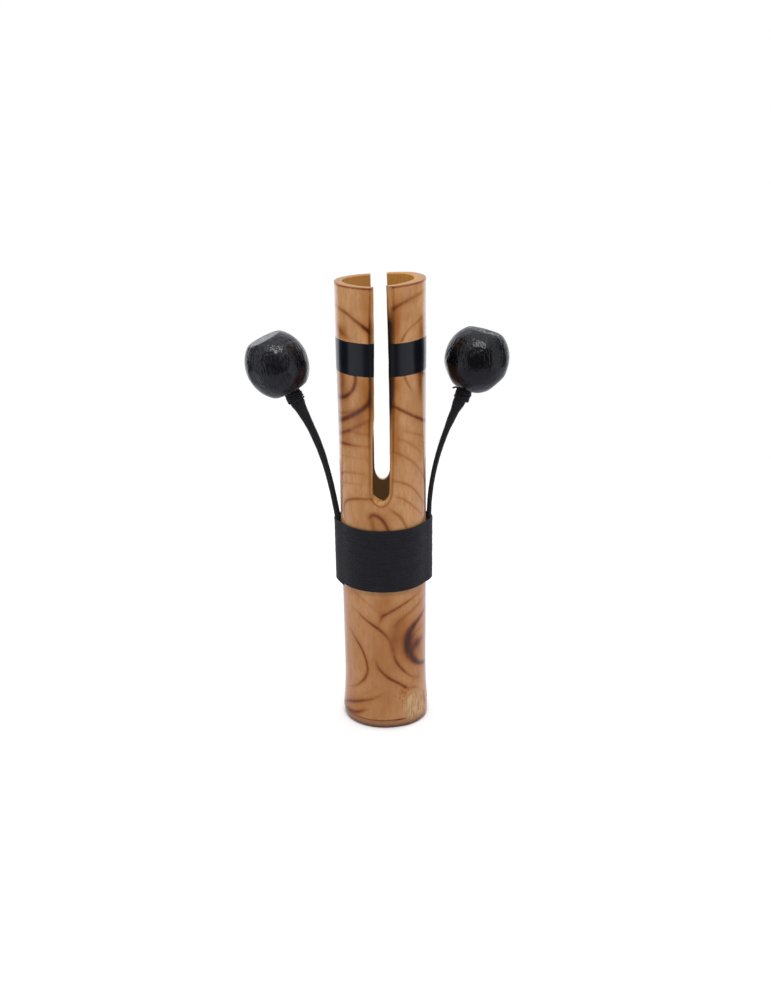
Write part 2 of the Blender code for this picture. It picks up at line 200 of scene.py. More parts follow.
def tube_rings():
    """The tube's rings, from the eye of the diaphragm up the bore, over the rim and down to the foot,
    with the number of rings that come before the skin and of those that make it."""
    top = bamboo_radius(TUBE_HEIGHT)
    bore_foot = bamboo_radius(NODE_FLARE_TOP) - TUBE_WALL
    corner = (bore_foot - BORE_CORNER, DIAPHRAGM_TOP + BORE_CORNER)
    bore_z = np.linspace(corner[1], TUBE_HEIGHT - RIM_ROUND / 2, BORE_ROWS)
    inside = [(DIAPHRAGM_EYE, DIAPHRAGM_TOP), *arc(corner, BORE_CORNER, -90, 0, CORNER_STEPS)]
    inside += [(bamboo_radius(z) - TUBE_WALL, z) for z in bore_z[1:]]
    flat = np.linspace(top - TUBE_WALL + RIM_ROUND / 2, top - RIM_ROUND, RIM_ROWS)
    inside += [(radius, TUBE_HEIGHT) for radius in flat[:-1]]
    rim = arc((top - RIM_ROUND, TUBE_HEIGHT - RIM_ROUND), RIM_ROUND, 90, 0, RIM_ROUND_STEPS)
    wall_z = np.arange(TUBE_HEIGHT - RIM_ROUND - TUBE_ROW, FOOT_ROWS_TOP, -TUBE_ROW)
    foot_z = np.arange(FOOT_ROWS_TOP, FOOT_ROUND + FOOT_ROW / 2, -FOOT_ROW)
    wall = [(bamboo_radius(z), z) for z in (*wall_z, *foot_z)]
    foot_radius = bamboo_radius(FOOT_ROUND)
    foot = arc((foot_radius - FOOT_ROUND, FOOT_ROUND), FOOT_ROUND, 0, -90, CORNER_STEPS)
    profile = np.array([*inside, *rim, *wall, *foot, (DIAPHRAGM_EYE, 0.0)])
    angles = np.linspace(0.0, math.tau, TUBE_COLUMNS, endpoint=False)
    radius, z = profile[:, 0, None], profile[:, 1, None]
    rings = np.stack(np.broadcast_arrays(radius * np.cos(angles), radius * np.sin(angles), z), axis=-1)
    first, last = len(inside) + 1, len(inside) + len(rim) + len(wall) + len(foot) - 1
    outer = rings[first:last]
    relief = skin_relief(outer.reshape(-1, 3)).reshape(outer.shape[:2])
    outer[..., 0] += relief * np.cos(angles)
    outer[..., 1] += relief * np.sin(angles)
    bore = slice(1, len(inside))
    in_wall = np.clip((top - radius[bore]) / TUBE_WALL, 0.0, 1.0)
    thicker = THICK_SIDE * in_wall * np.maximum(np.cos(angles), 0.0) ** 1.5
    rings[bore, :, 0] -= thicker * np.cos(angles)
    rings[bore, :, 1] -= thicker * np.sin(angles)
    rings[..., 2] += rim_shift(rings)
    return rings, len(inside) + 1, len(rim) + len(wall) + 1


rings, before_skin, skin_count = tube_rings()
tube = skinned("bamboo_tube_body", rings)
face_slots = np.full(len(tube.data.polygons), BARE)
face_slots[before_skin * TUBE_COLUMNS:(before_skin + skin_count) * TUBE_COLUMNS] = SKIN

# Bamboo tube, the slot: cut from the top through both walls with a saw and a knife, so its edges wander
# and the two sides don't quite match. The outer edges are pared to a broad bevel of bare wood, and in the
# foot of its front a splinter is left standing.

# Each edge is given as (height, x) in millimetres, down from the rim, and the shape of the foot from its
# right to its left, as shares of half its width and of its depth. Inner ones lie at the bore.
SLOT_FRONT = {
    "left": [(210, -2.75), (196, -2.75), (186, -2.75), (171, -2.8), (158, -3.1), (144, -3.3),
             (140, -3.7), (136, -4.1), (113, -4.5)],
    "right": [(210, 3.0), (196, 3.2), (188, 3.7), (181, 4.1), (161, 4.0), (150, 3.8), (144, 3.6),
              (126, 3.3), (113, 2.9)],
    "left_inner": [(210, -2.6), (144, -3.2), (136, -4.0), (113, -4.4)],
    "right_inner": [(210, 2.3), (196, 2.6), (186, 2.75), (169, 3.05), (156, 3.1), (144, 3.2),
                    (126, 3.1), (113, 2.8)],
    "foot": 107.4,
    "left_bevel": [(210, 1.4), (196, 1.4), (186, 1.7), (171, 2.2), (158, 1.8), (144, 1.9), (135, 1.3),
                   (113, 1.1)],
    "right_bevel": [(210, 2.4), (196, 2.2), (186, 1.7), (180, 1.3), (144, 1.4), (135, 1.2), (113, 1.1)],
    "foot_bevel": 1.8,
    "foot_shape": [(1, 0), (.97, .42), (.86, .66), (.5, .92), (.1, 1), (-.4, 1), (-.75, .9),
                   (-.93, .68), (-.985, .4), (-1, 0)],
    "foot_shape_inner": [(1, 0), (.97, .42), (.86, .66), (.5, .96), (.2, 1.06), (-.3, .86), (-.6, .74),
                         (-.9, .60), (-.985, .36), (-1, 0)],
}
SLOT_BACK = {
    "left": [(210, -4.2), (150, -3.95), (113, -3.75)],
    "right": [(210, 2.7), (198, 2.9), (187, 3.1), (172, 3.3), (160, 3.4), (150, 3.5), (113, 3.4)],
    "foot": 106.6,
    "left_bevel": [(210, 1.9), (113, 1.5)],
    "right_bevel": [(210, 2.0), (113, 1.6)],
    "foot_bevel": 2.4,
}
SLOT_FOOT_START = 113.0
SLOT_ABOVE = 210.0
SLOT_SIDE_POINTS = 110
SLOT_FOOT_POINTS = 48
SLOT_WANDER = 0.09
SLOT_WANDER_SIZE = 6.0
BEVEL_DEPTH = 1.5 * MM
BEHIND_BEVEL = 2.3 * MM
CUTTER_CLEAR = 0.5 * MM


def along(table, wanted):
    """The values at the places wanted of a (place, value) table whose places run from high to low."""
    places, values = zip(*reversed(table))
    return np.interp(wanted, places, values)


def slot_outline(edges, bevel, depth=""):
    """The slot's outline as (x, z), down its right edge, round its foot and up its left edge: where its
    bevel starts, with the bevel where that meets the skin, or at the depth called "_inner" in the bore,
    where an edge with no table of its own runs straight through."""
    side_z = np.linspace(SLOT_ABOVE, SLOT_FOOT_START, SLOT_SIDE_POINTS)
    turn = np.linspace(0.0, math.pi, SLOT_FOOT_POINTS)[1:-1]
    right = along(edges.get("right" + depth, edges["right"]), side_z)
    right = right + bevel * along(edges["right_bevel"], side_z)
    left = along(edges.get("left" + depth, edges["left"]), side_z)
    left = left - bevel * along(edges["left_bevel"], side_z)
    middle, half = (right[-1] + left[-1]) / 2, (right[-1] - left[-1]) / 2
    drop = SLOT_FOOT_START - edges["foot"] + bevel * edges["foot_bevel"]
    across, down = np.cos(turn), np.sin(turn)
    if bevel == 0.0 and "foot_shape" + depth in edges:
        down = along(edges["foot_shape" + depth], across)
    x = np.concatenate([right, middle + half * across, left[::-1]])
    z = np.concatenate([side_z, SLOT_FOOT_START - drop * down, side_z[::-1]])
    uneven = wander(np.stack([x, np.full(len(x), 3.0 * bevel), z], axis=1), SLOT_WANDER_SIZE, 4)
    return np.stack([x + SLOT_WANDER * uneven, z], axis=1) * MM


def slot_rings(edges, face):
    """The cutter's three rings at one face of the tube: outside the skin, where the bevel starts, and in
    the bore, just behind the wall."""
    inner, outer = slot_outline(edges, 0.0), slot_outline(edges, 1.0)
    start = bamboo_radius(inner[:, 1]) - BEVEL_DEPTH
    end = bamboo_radius(inner[:, 1]) + CUTTER_CLEAR
    skin = np.sqrt(bamboo_radius(outer[:, 1]) ** 2 - outer[:, 0] ** 2)
    flare = inner + (outer - inner) * ((end - start) / (skin - start))[:, None]
    flared = np.stack([flare[:, 0], face * end, flare[:, 1]], axis=1)
    straight = np.stack([inner[:, 0], face * start, inner[:, 1]], axis=1)
    behind = slot_outline(edges, 0.0, "_inner")
    in_bore = np.stack([behind[:, 0], face * (start - BEHIND_BEVEL), behind[:, 1]], axis=1)
    return flared, straight, in_bore


front, back = slot_rings(SLOT_FRONT, -1.0), slot_rings(SLOT_BACK, 1.0)
cutter = skinned("slot_cutter", [*front, *reversed(back)])
work = bmesh.new()
work.from_mesh(cutter.data)
bmesh.ops.recalc_face_normals(work, faces=work.faces)
work.to_mesh(cutter.data)
work.free()

# Bamboo tube, the finish: swirls drawn with a small flame, a stripe of black paint round the top and
# a clear lacquer over all of the skin. Where the slot, the rim and the bore are cut, the wood is bare.

# A stroke runs through its points, each given as millimetres round the tube from the middle of its
# front, millimetres up from its foot, how wide the stroke is there and how dark, from 0 to 1. Most are
# flame marks; the two broad upright ones near the sides are painted shadow and reflection of the stems.
SCORCH_AND_STEM_SHADOW_STROKES = [
    [(-25, 190.2, .81, .3), (-16, 188.4, .81, .59), (-10.2, 185.2, .74, .68), (-6, 182.4, .81, .94),
     (-4.6, 181.2, .81, .94)],
    [(-22, 181.5, 1.12, .35), (-19, 179.6, 1.23, .4), (-13, 177.4, 1.12, .14)],
    [(4.4, 190.2, .9, .56), (9, 192.5, .83, .62), (14, 194.2, .75, .46), (19, 195.3, .75, .4),
     (26, 196.5, .75, .22)],
    [(8.6, 177.0, .5, .59), (10.7, 180.0, .5, .44), (13.2, 182.1, .5, .4), (19.4, 184.7, .5, .3),
     (24, 185.6, .56, .14)],
    [(-11.2, 163, .84, .73), (-11.4, 159.2, .84, .79), (-12.7, 156.2, .84, .84), (-14.8, 154, .84, .84),
     (-17.7, 152.3, .84, .89), (-21, 151.4, .9, .89), (-26, 150.6, .9, .79), (-31.5, 151.6, .7, .45),
     (-36, 154.2, .5, .08)],
    [(-18.9, 162, 1.34, .4), (-18.9, 158.5, 1.34, .35), (-19.5, 155, 1.34, .19)],
    [(-3.6, 154, 1.1, .8), (-5.6, 150.8, 1.1, .86), (-9.3, 147.5, 1.1, .86), (-15.2, 144, 1.1, .85),
     (-21.8, 141.2, 1.1, .85), (-28, 140, .99, .71), (-34, 140.8, .75, .38), (-38.5, 143, .5, .06)],
    [(-12.2, 147.2, .56, .14), (-17.7, 145.4, .56, .4), (-24, 144, .56, .49), (-29, 143.9, .5, .28),
     (-33, 144.8, .45, .05)],
    [(-4.2, 144.4, .67, .19), (-11, 140.4, .78, .44), (-17.7, 137.0, .84, .64), (-27, 134.2, .9, .73),
     (-33, 134.2, .7, .4), (-38, 136, .5, .06)],
    [(-16, 137.6, .78, .14), (-11, 137.6, .9, .3), (-5.5, 137.2, .9, .24)],
    [(-37, 130.8, .45, .06), (-32, 130, .5, .42), (-27, 130.2, .56, .79), (-17.7, 131.5, .56, .64),
     (-11.8, 131.8, .5, .44), (-4.6, 132.2, .45, .24)],
    [(-25, 125.0, .56, .24), (-16, 126.2, .56, .18), (-8, 126.6, .56, .1)],
    [(-27, 114.8, .62, .52), (-21, 117.9, .62, .44), (-16, 119.2, .62, .38), (-8, 119.9, .56, .24)],
    [(-22, 113.2, .56, .2), (-16, 114.3, .56, .26), (-10, 114.9, .56, .2), (-6, 115.1, .5, .1)],
    [(-5, 108.9, .62, .49), (-11, 108.3, .67, .61), (-15.2, 107.3, .67, .64), (-18.5, 105.8, .67, .64),
     (-20.7, 103.7, .78, .59), (-21.2, 100.5, 1.01, .44), (-20.3, 96, 1.01, .3)],
    # Not a flame mark: painted shadow and reflection of the left stem, down the tube's left side.
    [(-25.5, 112, 1.68, .4), (-25.5, 100, 1.68, .44)],
    [(9.6, 162.6, .5, .54), (11.5, 158.4, .5, .49), (13.4, 155.6, .5, .3), (15, 153.6, .45, .1)],
    [(4.2, 150.2, .67, .49), (7.3, 148.3, .67, .73), (11.5, 145.8, .67, .79), (15.7, 143.5, .67, .84),
     (23.5, 139.9, .73, .89), (29, 138.8, .65, .55), (34.5, 139.8, .5, .08)],
    [(19.2, 162, 1.23, .49), (19.0, 157.5, 1.12, .4), (19.5, 152.5, 1.01, .19)],
    [(17, 162.6, .9, .4), (20.6, 161.4, .9, .64), (25, 159.8, .9, .49)],
    [(9.6, 138.4, .7, .22), (15, 136.4, .7, .3), (22, 133.4, .7, .38)],
    [(6.5, 135.6, .5, .1), (11, 133.4, .56, .26), (15.5, 130.2, .56, .28), (20, 126.4, .56, .16)],
    [(4.6, 130.2, .56, .24), (9, 127.5, .56, .35), (13.2, 124.6, .56, .41), (17.3, 120.8, .56, .41),
     (26, 111, .67, .49)],
    [(4.4, 117.0, .56, .35), (9, 115.4, .56, .41), (13.2, 112.9, .56, .41), (16.5, 109.6, .56, .41),
     (22, 103.4, .56, .4)],
    [(5.4, 109.9, .56, .24), (9, 108.2, .56, .35), (14, 104.2, .56, .35), (20, 98.8, .56, .3)],
    # Not a flame mark: painted shadow and reflection of the right stem, down the tube's right side.
    [(24, 117, 1.57, .3), (24.6, 108, 1.57, .49), (24.6, 98, 1.57, .49)],
    [(2.4, 104.8, .67, .19), (5.7, 102, .67, .41), (7.8, 100, .67, .44), (10.6, 95, .67, .4)],
    [(-6.4, 100.4, .78, .3), (-5.0, 101.6, .9, .59), (-3.2, 101.6, .9, .68), (-1.4, 100.5, .84, .73),
     (.4, 98.3, .78, .73), (2.4, 94, .78, .64)],
    [(-5.6, 100.6, 1.12, .35), (-4.9, 98, 1.34, .41), (-4.0, 94, 1.34, .44)],
    [(-17, 65.6, .6, .25), (-11, 62.4, .6, .29), (-7.9, 60.5, .6, .23), (-2.3, 56.2, .6, .16)],
    [(-18, 57.4, .5, .12), (-13.5, 55.5, .55, .33), (-11, 53.8, .6, .53), (-5.4, 50.2, .65, .78),
     (-2.2, 48.0, .65, .74), (.2, 45.6, .7, .57), (2.2, 42.4, .8, .33), (3.4, 38.5, .9, .2)],
    [(-2.2, 52.2, .6, .29), (-1, 54.6, .6, .61), (.4, 55.4, .6, .7), (3.4, 57.1, .6, .7),
     (9.6, 59.9, .6, .66), (14, 61.5, .6, .49), (21, 63.8, .6, .25)],
    [(-1.8, 59, 1.6, .12), (-1.4, 54.5, 1.7, .25), (-2.4, 50.5, 1.5, .16)],
    [(4.6, 49.6, .9, .2), (7.1, 52.3, .9, .33), (12.1, 54.9, .85, .41), (17.1, 57.1, .8, .45),
     (23, 59.6, .8, .29)],
    [(-23.5, 48.6, .5, .08), (-18.5, 45.2, .6, .41), (-13.2, 40.2, .65, .74), (-11, 37.1, .65, .75),
     (-9.4, 33.6, .65, .74), (-8.5, 29.9, .65, .7), (-8.6, 26.8, .65, .72), (-10, 23.6, .65, .75),
     (-12.6, 20.8, .6, .66), (-16, 18.3, .6, .41), (-24.8, 14.3, .6, .12)],
    [(-25, 40, 1.2, .25), (-22, 34, 1.2, .33), (-22.5, 28, 1.2, .25)],
    [(33.5, 53.8, .5, .06), (29, 53.6, .7, .32), (23.5, 52.2, .96, .55), (20.2, 51.1, 1.08, .75),
     (15.3, 48.6, 1.56, .95), (12.5, 46.2, 2.16, 1), (10.9, 43, 2.64, 1), (10.7, 39.2, 2.64, 1),
     (11.3, 36.5, 2.52, 1), (12.5, 33.9, 2.16, 1), (14.3, 31.4, 1.8, 1), (16.5, 29.6, 1.44, .95),
     (19, 28.1, 1.2, .9), (26, 26.2, 1.08, .75), (30.5, 26.8, .8, .4), (34, 28.6, .6, .06)],
    [(13.6, 36.0, 1.44, .5), (15.6, 38.2, 2.04, .85), (17.6, 38.9, 1.92, .7), (22, 40.2, 1.44, .4)],
    [(13.4, 42.6, .7, .25), (16.5, 44.6, .75, .34), (21, 45.6, .75, .25)],
    [(3.4, 38.6, .9, .25), (4.3, 34.3, .65, .53), (5.3, 32, .6, .7), (6.8, 29.6, .6, .7),
     (9, 27, .6, .66), (10.9, 25.2, .65, .49), (14, 23, .7, .29), (19, 21.4, .7, .12)],
    [(-4.5, 33.6, .8, .18), (-3.8, 31, .65, .49), (-2.6, 28.9, .65, .64), (.9, 25.2, .65, .72),
     (4, 23, .65, .74), (6.5, 21.4, .65, .74), (9.2, 19.2, .6, .75)],
    [(9.3, 19.2, .55, .66), (10.9, 18.3, .7, .41), (14.6, 17.7, .7, .41), (18, 16.2, .6, .16)],
    [(6.9, 18.1, .5, .25), (8.0, 17.2, .5, .37), (9.2, 15.6, .5, .29)],
    [(-38, 4.6, .5, .06), (-33, 4.4, .7, .4), (-28, 5.4, .9, .78), (-21, 8.8, .85, .78),
     (-16, 10.6, .75, .74), (-11, 12.5, .7, .7), (-6, 14.3, .7, .49), (-1.2, 17, .8, .16)],
    [(-13, 14.6, .6, .12), (-8.5, 17, .6, .2), (-3.8, 20.4, .7, .12)],
    [(-26, 3.2, 1, .66), (-21, 4.6, 1, .74), (-14.8, 5.9, .95, .7), (-11.6, 7.3, .9, .61),
     (-8.6, 8.8, .9, .25)],
    [(21.6, 13, .7, .25), (22.2, 9, .7, .37), (23.4, 5, .7, .49)],
    [(30, 20, .8, .49), (36, 27, .8, .66), (44, 29, .8, .7), (51, 25, .8, .66), (53, 17, .7, .41)],
    [(28, 47, .6, .41), (35, 52, .65, .66), (44, 52, .65, .66), (52, 46, .6, .49), (56, 37, .6, .25)],
    [(38, 41, 1, .66), (43, 44, 1.4, .78), (49, 41, 1.5, .82), (50, 35, 1.4, .82), (45, 32, 1.2, .74),
     (40, 34, 1, .49)],
    [(-54, 62, .5, .25), (-46, 58, .6, .57), (-38, 50, .6, .7), (-34, 40, .6, .66), (-36, 30, .6, .33)],
    [(-53, 44, .7, .66), (-46, 42, .8, .74), (-42, 35, .8, .74), (-44, 27, .8, .66), (-51, 23, .7, .41)],
    [(-30, 14, .55, .25), (-38, 18, .6, .57), (-47, 14, .6, .57), (-56, 16, .5, .33)],
    [(26, 104, .62, .3), (33, 112, .62, .49), (42, 114, .62, .53), (52, 108, .56, .33)],
    [(28, 124, .78, .68), (36, 131, .78, .7), (46, 132, .78, .57), (53, 126, .67, .33)],
    [(30, 143, .9, .74), (37, 150, 1, .78), (46, 151, 1, .74), (53, 145, .9, .57)],
    [(34, 157, .6, .33), (41, 161, .6, .53), (49, 158, .6, .33)],
    [(-27, 111, .67, .4), (-36, 106, .67, .57), (-45, 108, .67, .61), (-53, 115, .67, .41)],
    [(-28, 126, .9, .79), (-37, 121, 1.01, .78), (-46, 124, 1.01, .74), (-53, 132, .9, .57)],
    [(-29, 142, .6, .41), (-37, 147, .6, .49), (-44, 146, .6, .49), (-52, 139, .6, .25)],
    [(-30, 181, .6, .49), (-38, 187, .6, .61), (-46, 186, .6, .57), (-53, 180, .6, .33)],
    [(30, 186, .55, .41), (38, 181, .55, .49), (46, 184, .55, .41), (53, 191, .5, .25)],
]
# Patches that the flame only toasted: place and size as for the chips, and how dark
TOASTED = [
    ((-6.5, 192), (2.6, 9), .22), ((-19, 180), (4.5, 3), .35), ((6.6, 184), (2.4, 8), .42),
    ((20.4, 180), (3.2, 7), .46), ((12.5, 187), (4.0, 2.5), .20), ((-7.4, 157), (2.6, 7), .36),
    ((-20, 156), (4.0, 6), .38), ((6.6, 158), (2.8, 5), .34), ((19.6, 157), (2.6, 7), .40),
    ((-9.5, 143), (4.5, 5), .34), ((-17, 133), (6.0, 4), .22), ((6.4, 135), (2.4, 12), .30),
    ((1, 100), (7.0, 6), .18), ((0, 62), (5.0, 6), .32), ((4.5, 45), (3.2, 8), .42),
    ((-3, 38), (4.0, 10), .22), ((1.5, 28), (6.0, 8), .18), ((1, 13), (7.0, 7), .20),
    ((8.0, 51), (3.0, 4), .28), ((-16, 11), (7.0, 3), .22), ((-20, 4.5), (8.0, 2.0), .30),
    ((17, 22), (5.0, 3), .24), ((15, 39), (3.0, 4), .30), ((18.5, 35), (4.0, 5), .20),
    ((13, 132), (5.0, 6), .14), ((-11.5, 128), (4.0, 4), .10), ((12, 194), (4.0, 4), .18),
    ((7.4, 16.4), (.45, .35), .75), ((8.5, 15.0), (.40, .30), .70), ((6.4, 14.4), (.35, .35), .60),
    ((9.6, 16.6), (.50, .30), .65), ((7.7, 13.0), (.30, .40), .60), ((10.8, 17.4), (.40, .30), .60),
]
BEVEL_LINE = 0.42
BEVEL_LINE_DARK = {
    "left": [(210, .45), (188, .55), (184, .85), (152, .85), (146, .65), (140, .6), (130, .5), (106, .5)],
    "right": [(210, .3), (190, .45), (182, .6), (178, .6), (163, .75), (150, .6), (132, .5), (122, .4),
              (105, .5)],
}
# How dark the cut wood inside the front bevels and slot faces is, by height: partly flame marks, partly
# painted shade inside the slot.
BEVEL_INSIDE_DARK = {
    "left": [(210, .1), (186, .15), (164, .4), (150, .4), (142, .1), (134, .3), (116, .2), (112, 0)],
    "right": [(210, .1), (192, .15), (184, .95), (150, 1), (145, .6), (138, .3), (116, .1), (112, 0)],
}
STROKE_STEP = 0.25
STROKE_HALO = 3.2
STROKE_HALO_SHARE = 0.28
STROKE_DEPTH = (0.3 * MM, 0.9 * MM)
CUT_DEPTH = (0.6 * MM, 1.1 * MM)
# Painted shadow under the sheath's ledge: how dark its line is, and how wide.
SHEATH_LEDGE_SHADE = 0.80
SHEATH_LEDGE_SHADE_WIDTH = 0.35 * MM
RIM_SCORCH = 0.70
RIM_SCORCH_PLACE = 0.4 * MM
RIM_SCORCH_WIDTH = 0.5 * MM
# Painted shade along the foot's bottom edge, where its underside is out of the light: how dark, and how high
# it reaches.
FOOT_EDGE_SHADE = 0.97
FOOT_EDGE_SHADE_HEIGHT = 2.1 * MM
STRIPE_LOW = 162.1 * MM
STRIPE_HIGH = 176.2 * MM
STRIPE_WANDER = 0.25 * MM
STRIPE_EDGE = 0.1 * MM
SLIT_SHARP = math.radians(28.0)


def smooth_route(points, step):
    """Points about one step apart on a smooth curve through the points given. Only their first two
    numbers are places; any others change smoothly along the way."""
    points = np.array(points, float)
    ends = np.vstack([2 * points[0] - points[1], points, 2 * points[-1] - points[-2]])
    route = []
    for before, start, end, after in zip(ends, ends[1:], ends[2:], ends[3:]):
        count = max(2, int(np.linalg.norm((end - start)[:2]) / step))
        t = np.linspace(0.0, 1.0, count, endpoint=False)[:, None]
        bend = 2 * before - 5 * start + 4 * end - after
        twist = 3 * start - before - 3 * end + after
        route.append(start + t * ((end - before) + t * (bend + t * twist)) / 2)
    return np.vstack([*route, points[-1:]])


def bevel_lines():
    """The thin burnt lines where the slot's front bevel meets the skin, as routes like the strokes'."""
    x, height = slot_outline(SLOT_FRONT, 1.0).T / MM
    girth = TUBE_RADIUS_MID / MM
    around = girth * np.arcsin(x * MM / bamboo_radius(height * MM))
    right = np.arange(len(x)) < len(x) / 2
    dark = np.where(right, along(BEVEL_LINE_DARK["right"], height), along(BEVEL_LINE_DARK["left"], height))
    return smooth_route(np.stack([around, height, np.full(len(x), BEVEL_LINE), dark], axis=1), STROKE_STEP)


def darkness_by_burns_and_shade(points):
    """How dark each point of the tube is, from 0 to 1, by the flame strokes, toasted patches and edges, and
    by painted shade: the stems' shadows, the sheath's ledge, the foot's bottom edge, the sunken chips and
    the inside of the slot.
    """
    around, height = (value / MM for value in unrolled(points))
    girth = math.tau * TUBE_RADIUS_MID / MM
    under_skin = bamboo_radius(points[:, 2]) - np.hypot(points[:, 0], points[:, 1])
    on_skin = 1.0 - eased(under_skin, *STROKE_DEPTH)
    clear = np.ones(len(points))
    for route in (*[smooth_route(stroke, STROKE_STEP) for stroke in SCORCH_AND_STEM_SHADOW_STROKES], bevel_lines()):
        middle = route[:, 0].mean()
        round_tube = (around - middle + girth / 2) % girth - girth / 2 + middle
        reach = 2.0 * STROKE_HALO * route[:, 2].max()
        low, high = route[:, :2].min(axis=0) - reach, route[:, :2].max(axis=0) + reach
        near = np.flatnonzero(
            (round_tube > low[0]) & (round_tube < high[0]) & (height > low[1]) & (height < high[1])
        )
        across = round_tube[near, None] - route[None, :, 0]
        up = height[near, None] - route[None, :, 1]
        gaps = np.hypot(across, up)
        nearest = gaps.argmin(axis=1)
        gap = gaps[np.arange(len(near)), nearest] / route[nearest, 2]
        mark = (1 - STROKE_HALO_SHARE) * np.exp(-gap ** 2)
        mark += STROKE_HALO_SHARE * np.exp(-(gap / STROKE_HALO) ** 2)
        clear[near] *= 1.0 - np.clip(route[nearest, 3], 0.0, 1.0) * mark * on_skin[near]
    edge, ledge = sheath_edge(points)
    # Painted shadow: a dark line along the sheath's edge, fading out beside the bud.
    torn = np.exp(-((points[:, 2] - edge) / SHEATH_LEDGE_SHADE_WIDTH) ** 2)
    clear *= 1.0 - SHEATH_LEDGE_SHADE * torn * ledge
    # Toasted patches darken the skin; in the sunken chips the darkening is painted shade.
    for place, size, shade in (*TOASTED, *[(place, size, shade) for place, size, _, shade in CHIPS]):
        clear *= 1.0 - shade * dab(points, place, size)
    # Painted shade darkening the foot's bottom edge.
    clear *= 1.0 - FOOT_EDGE_SHADE * np.exp(-(points[:, 2] / FOOT_EDGE_SHADE_HEIGHT) ** 2)
    # Inside the front bevels and the slot: partly flame marks, partly painted shade.
    cut = eased(under_skin, *CUT_DEPTH)
    inside = cut * (points[:, 1] < 0.0)
    inside_burn_and_shade = (along(BEVEL_INSIDE_DARK[name], height) for name in ("left", "right"))
    clear *= 1.0 - inside * np.where(points[:, 0] < 0.0, *inside_burn_and_shade)
    angle = np.arctan2(points[:, 1], points[:, 0])
    below_rim = TUBE_HEIGHT + RIM_SLOPE * points[:, 0] - rim_dip(angle) - points[:, 2]
    rim_line = np.exp(-((below_rim - RIM_SCORCH_PLACE) / RIM_SCORCH_WIDTH) ** 2)
    clear *= 1.0 - RIM_SCORCH * (1.0 - cut) * rim_line
    return 1.0 - clear


class Value:
    """A node's output that is used in sums like a number: a sum adds its Math node to the same finish."""

    def __init__(self, tree, socket=None):
        self.tree = tree
        self.socket = socket

    def node(self, kind, settings=None, inputs=None, output=0):
        """Add a node, set it up, feed its sockets, and give one of its outputs, if it has any."""
        made = self.tree.nodes.new(kind)
        for name, setting in (settings or {}).items():
            setattr(made, name, setting)
        for name, value in (inputs or {}).items():
            if isinstance(value, Value):
                self.tree.links.new(value.socket, made.inputs[name])
            else:
                made.inputs[name].default_value = value
        return Value(self.tree, made.outputs[output]) if made.outputs else None

    def maths(self, operation, *values):
        """A Math node on values or numbers."""
        return self.node("ShaderNodeMath", {"operation": operation}, dict(enumerate(values)))

    def __add__(self, other):
        return self.maths("ADD", self, other)

    def __sub__(self, other):
        return self.maths("SUBTRACT", self, other)

    def __rsub__(self, other):
        return self.maths("SUBTRACT", other, self)

    def __mul__(self, other):
        return self.maths("MULTIPLY", self, other)

    __radd__ = __add__
    __rmul__ = __mul__

    def step(self, low, high):
        """A smooth step from 0 at the low value to 1 at the high one."""
        settings = {"interpolation_type": "SMOOTHSTEP"}
        inputs = {"Value": self, "From Min": low, "From Max": high}
        return self.node("ShaderNodeMapRange", settings, inputs)

    def mix(self, share, first, second):
        """A colour that goes from the first to the second with the share."""
        settings = {"data_type": "RGBA"}
        return self.node("ShaderNodeMix", settings, {0: share, 6: first, 7: second}, 2)

    def grain(self, place, stretch, detail=3.0, roughness=0.55):
        """Noise between 0 and 1 with about so many swells a metre along each axis."""
        scaled = self.node("ShaderNodeVectorMath", {"operation": "MULTIPLY"}, {0: place, 1: stretch})
        inputs = {"Vector": scaled, "Scale": 1.0, "Detail": detail, "Roughness": roughness}
        return self.node("ShaderNodeTexNoise", None, inputs)

    def place(self):
        """The place on the object, in metres."""
        return self.node("ShaderNodeTexCoord", None, None, "Object")

    def height(self, place):
        """How high a place is above the foot."""
        return self.node("ShaderNodeSeparateXYZ", None, {"Vector": place}, "Z")

    def kept(self, name):
        """A number that was stored for each point of the mesh."""
        return self.node("ShaderNodeAttribute", {"attribute_name": name}, None, "Fac")

    def relief(self, strength, distance, height):
        """The surface's normal, tilted by a fine relief."""
        inputs = {"Strength": strength, "Distance": distance, "Height": height}
        return self.node("ShaderNodeBump", None, inputs)

    def principled(self, inputs):
        """A shader with these inputs."""
        return self.node("ShaderNodeBsdfPrincipled", None, inputs)

    def surface(self, shader):
        """Make a shader the finish's surface."""
        self.node("ShaderNodeOutputMaterial", None, {"Surface": shader})


def srgb(red, green, blue):
    """A colour as a picture shows it, 0 to 255, in the shader's own linear values."""
    def linear(part):
        part = part / 255.0
        return part / 12.92 if part <= 0.04045 else ((part + 0.055) / 1.055) ** 2.4
    return (linear(red), linear(green), linear(blue), 1.0)


def new_finish(name):
    """An empty material, and a start for its nodes."""
    material = bpy.data.materials.new(name)
    material.use_nodes = True
    material.node_tree.nodes.clear()
    return material, Value(material.node_tree)


def painted_stripe(start, place):
    """1 on the stripe of black paint and 0 away from it, with slightly uneven edges."""
    uneven = (start.grain(place, (160, 160, 160), 2.0) - 0.5) * (2 * STRIPE_WANDER)
    height = start.height(place) + uneven
    low, high = (height.step(edge - STRIPE_EDGE, edge + STRIPE_EDGE) for edge in (STRIPE_LOW, STRIPE_HIGH))
    return low * (1 - high)


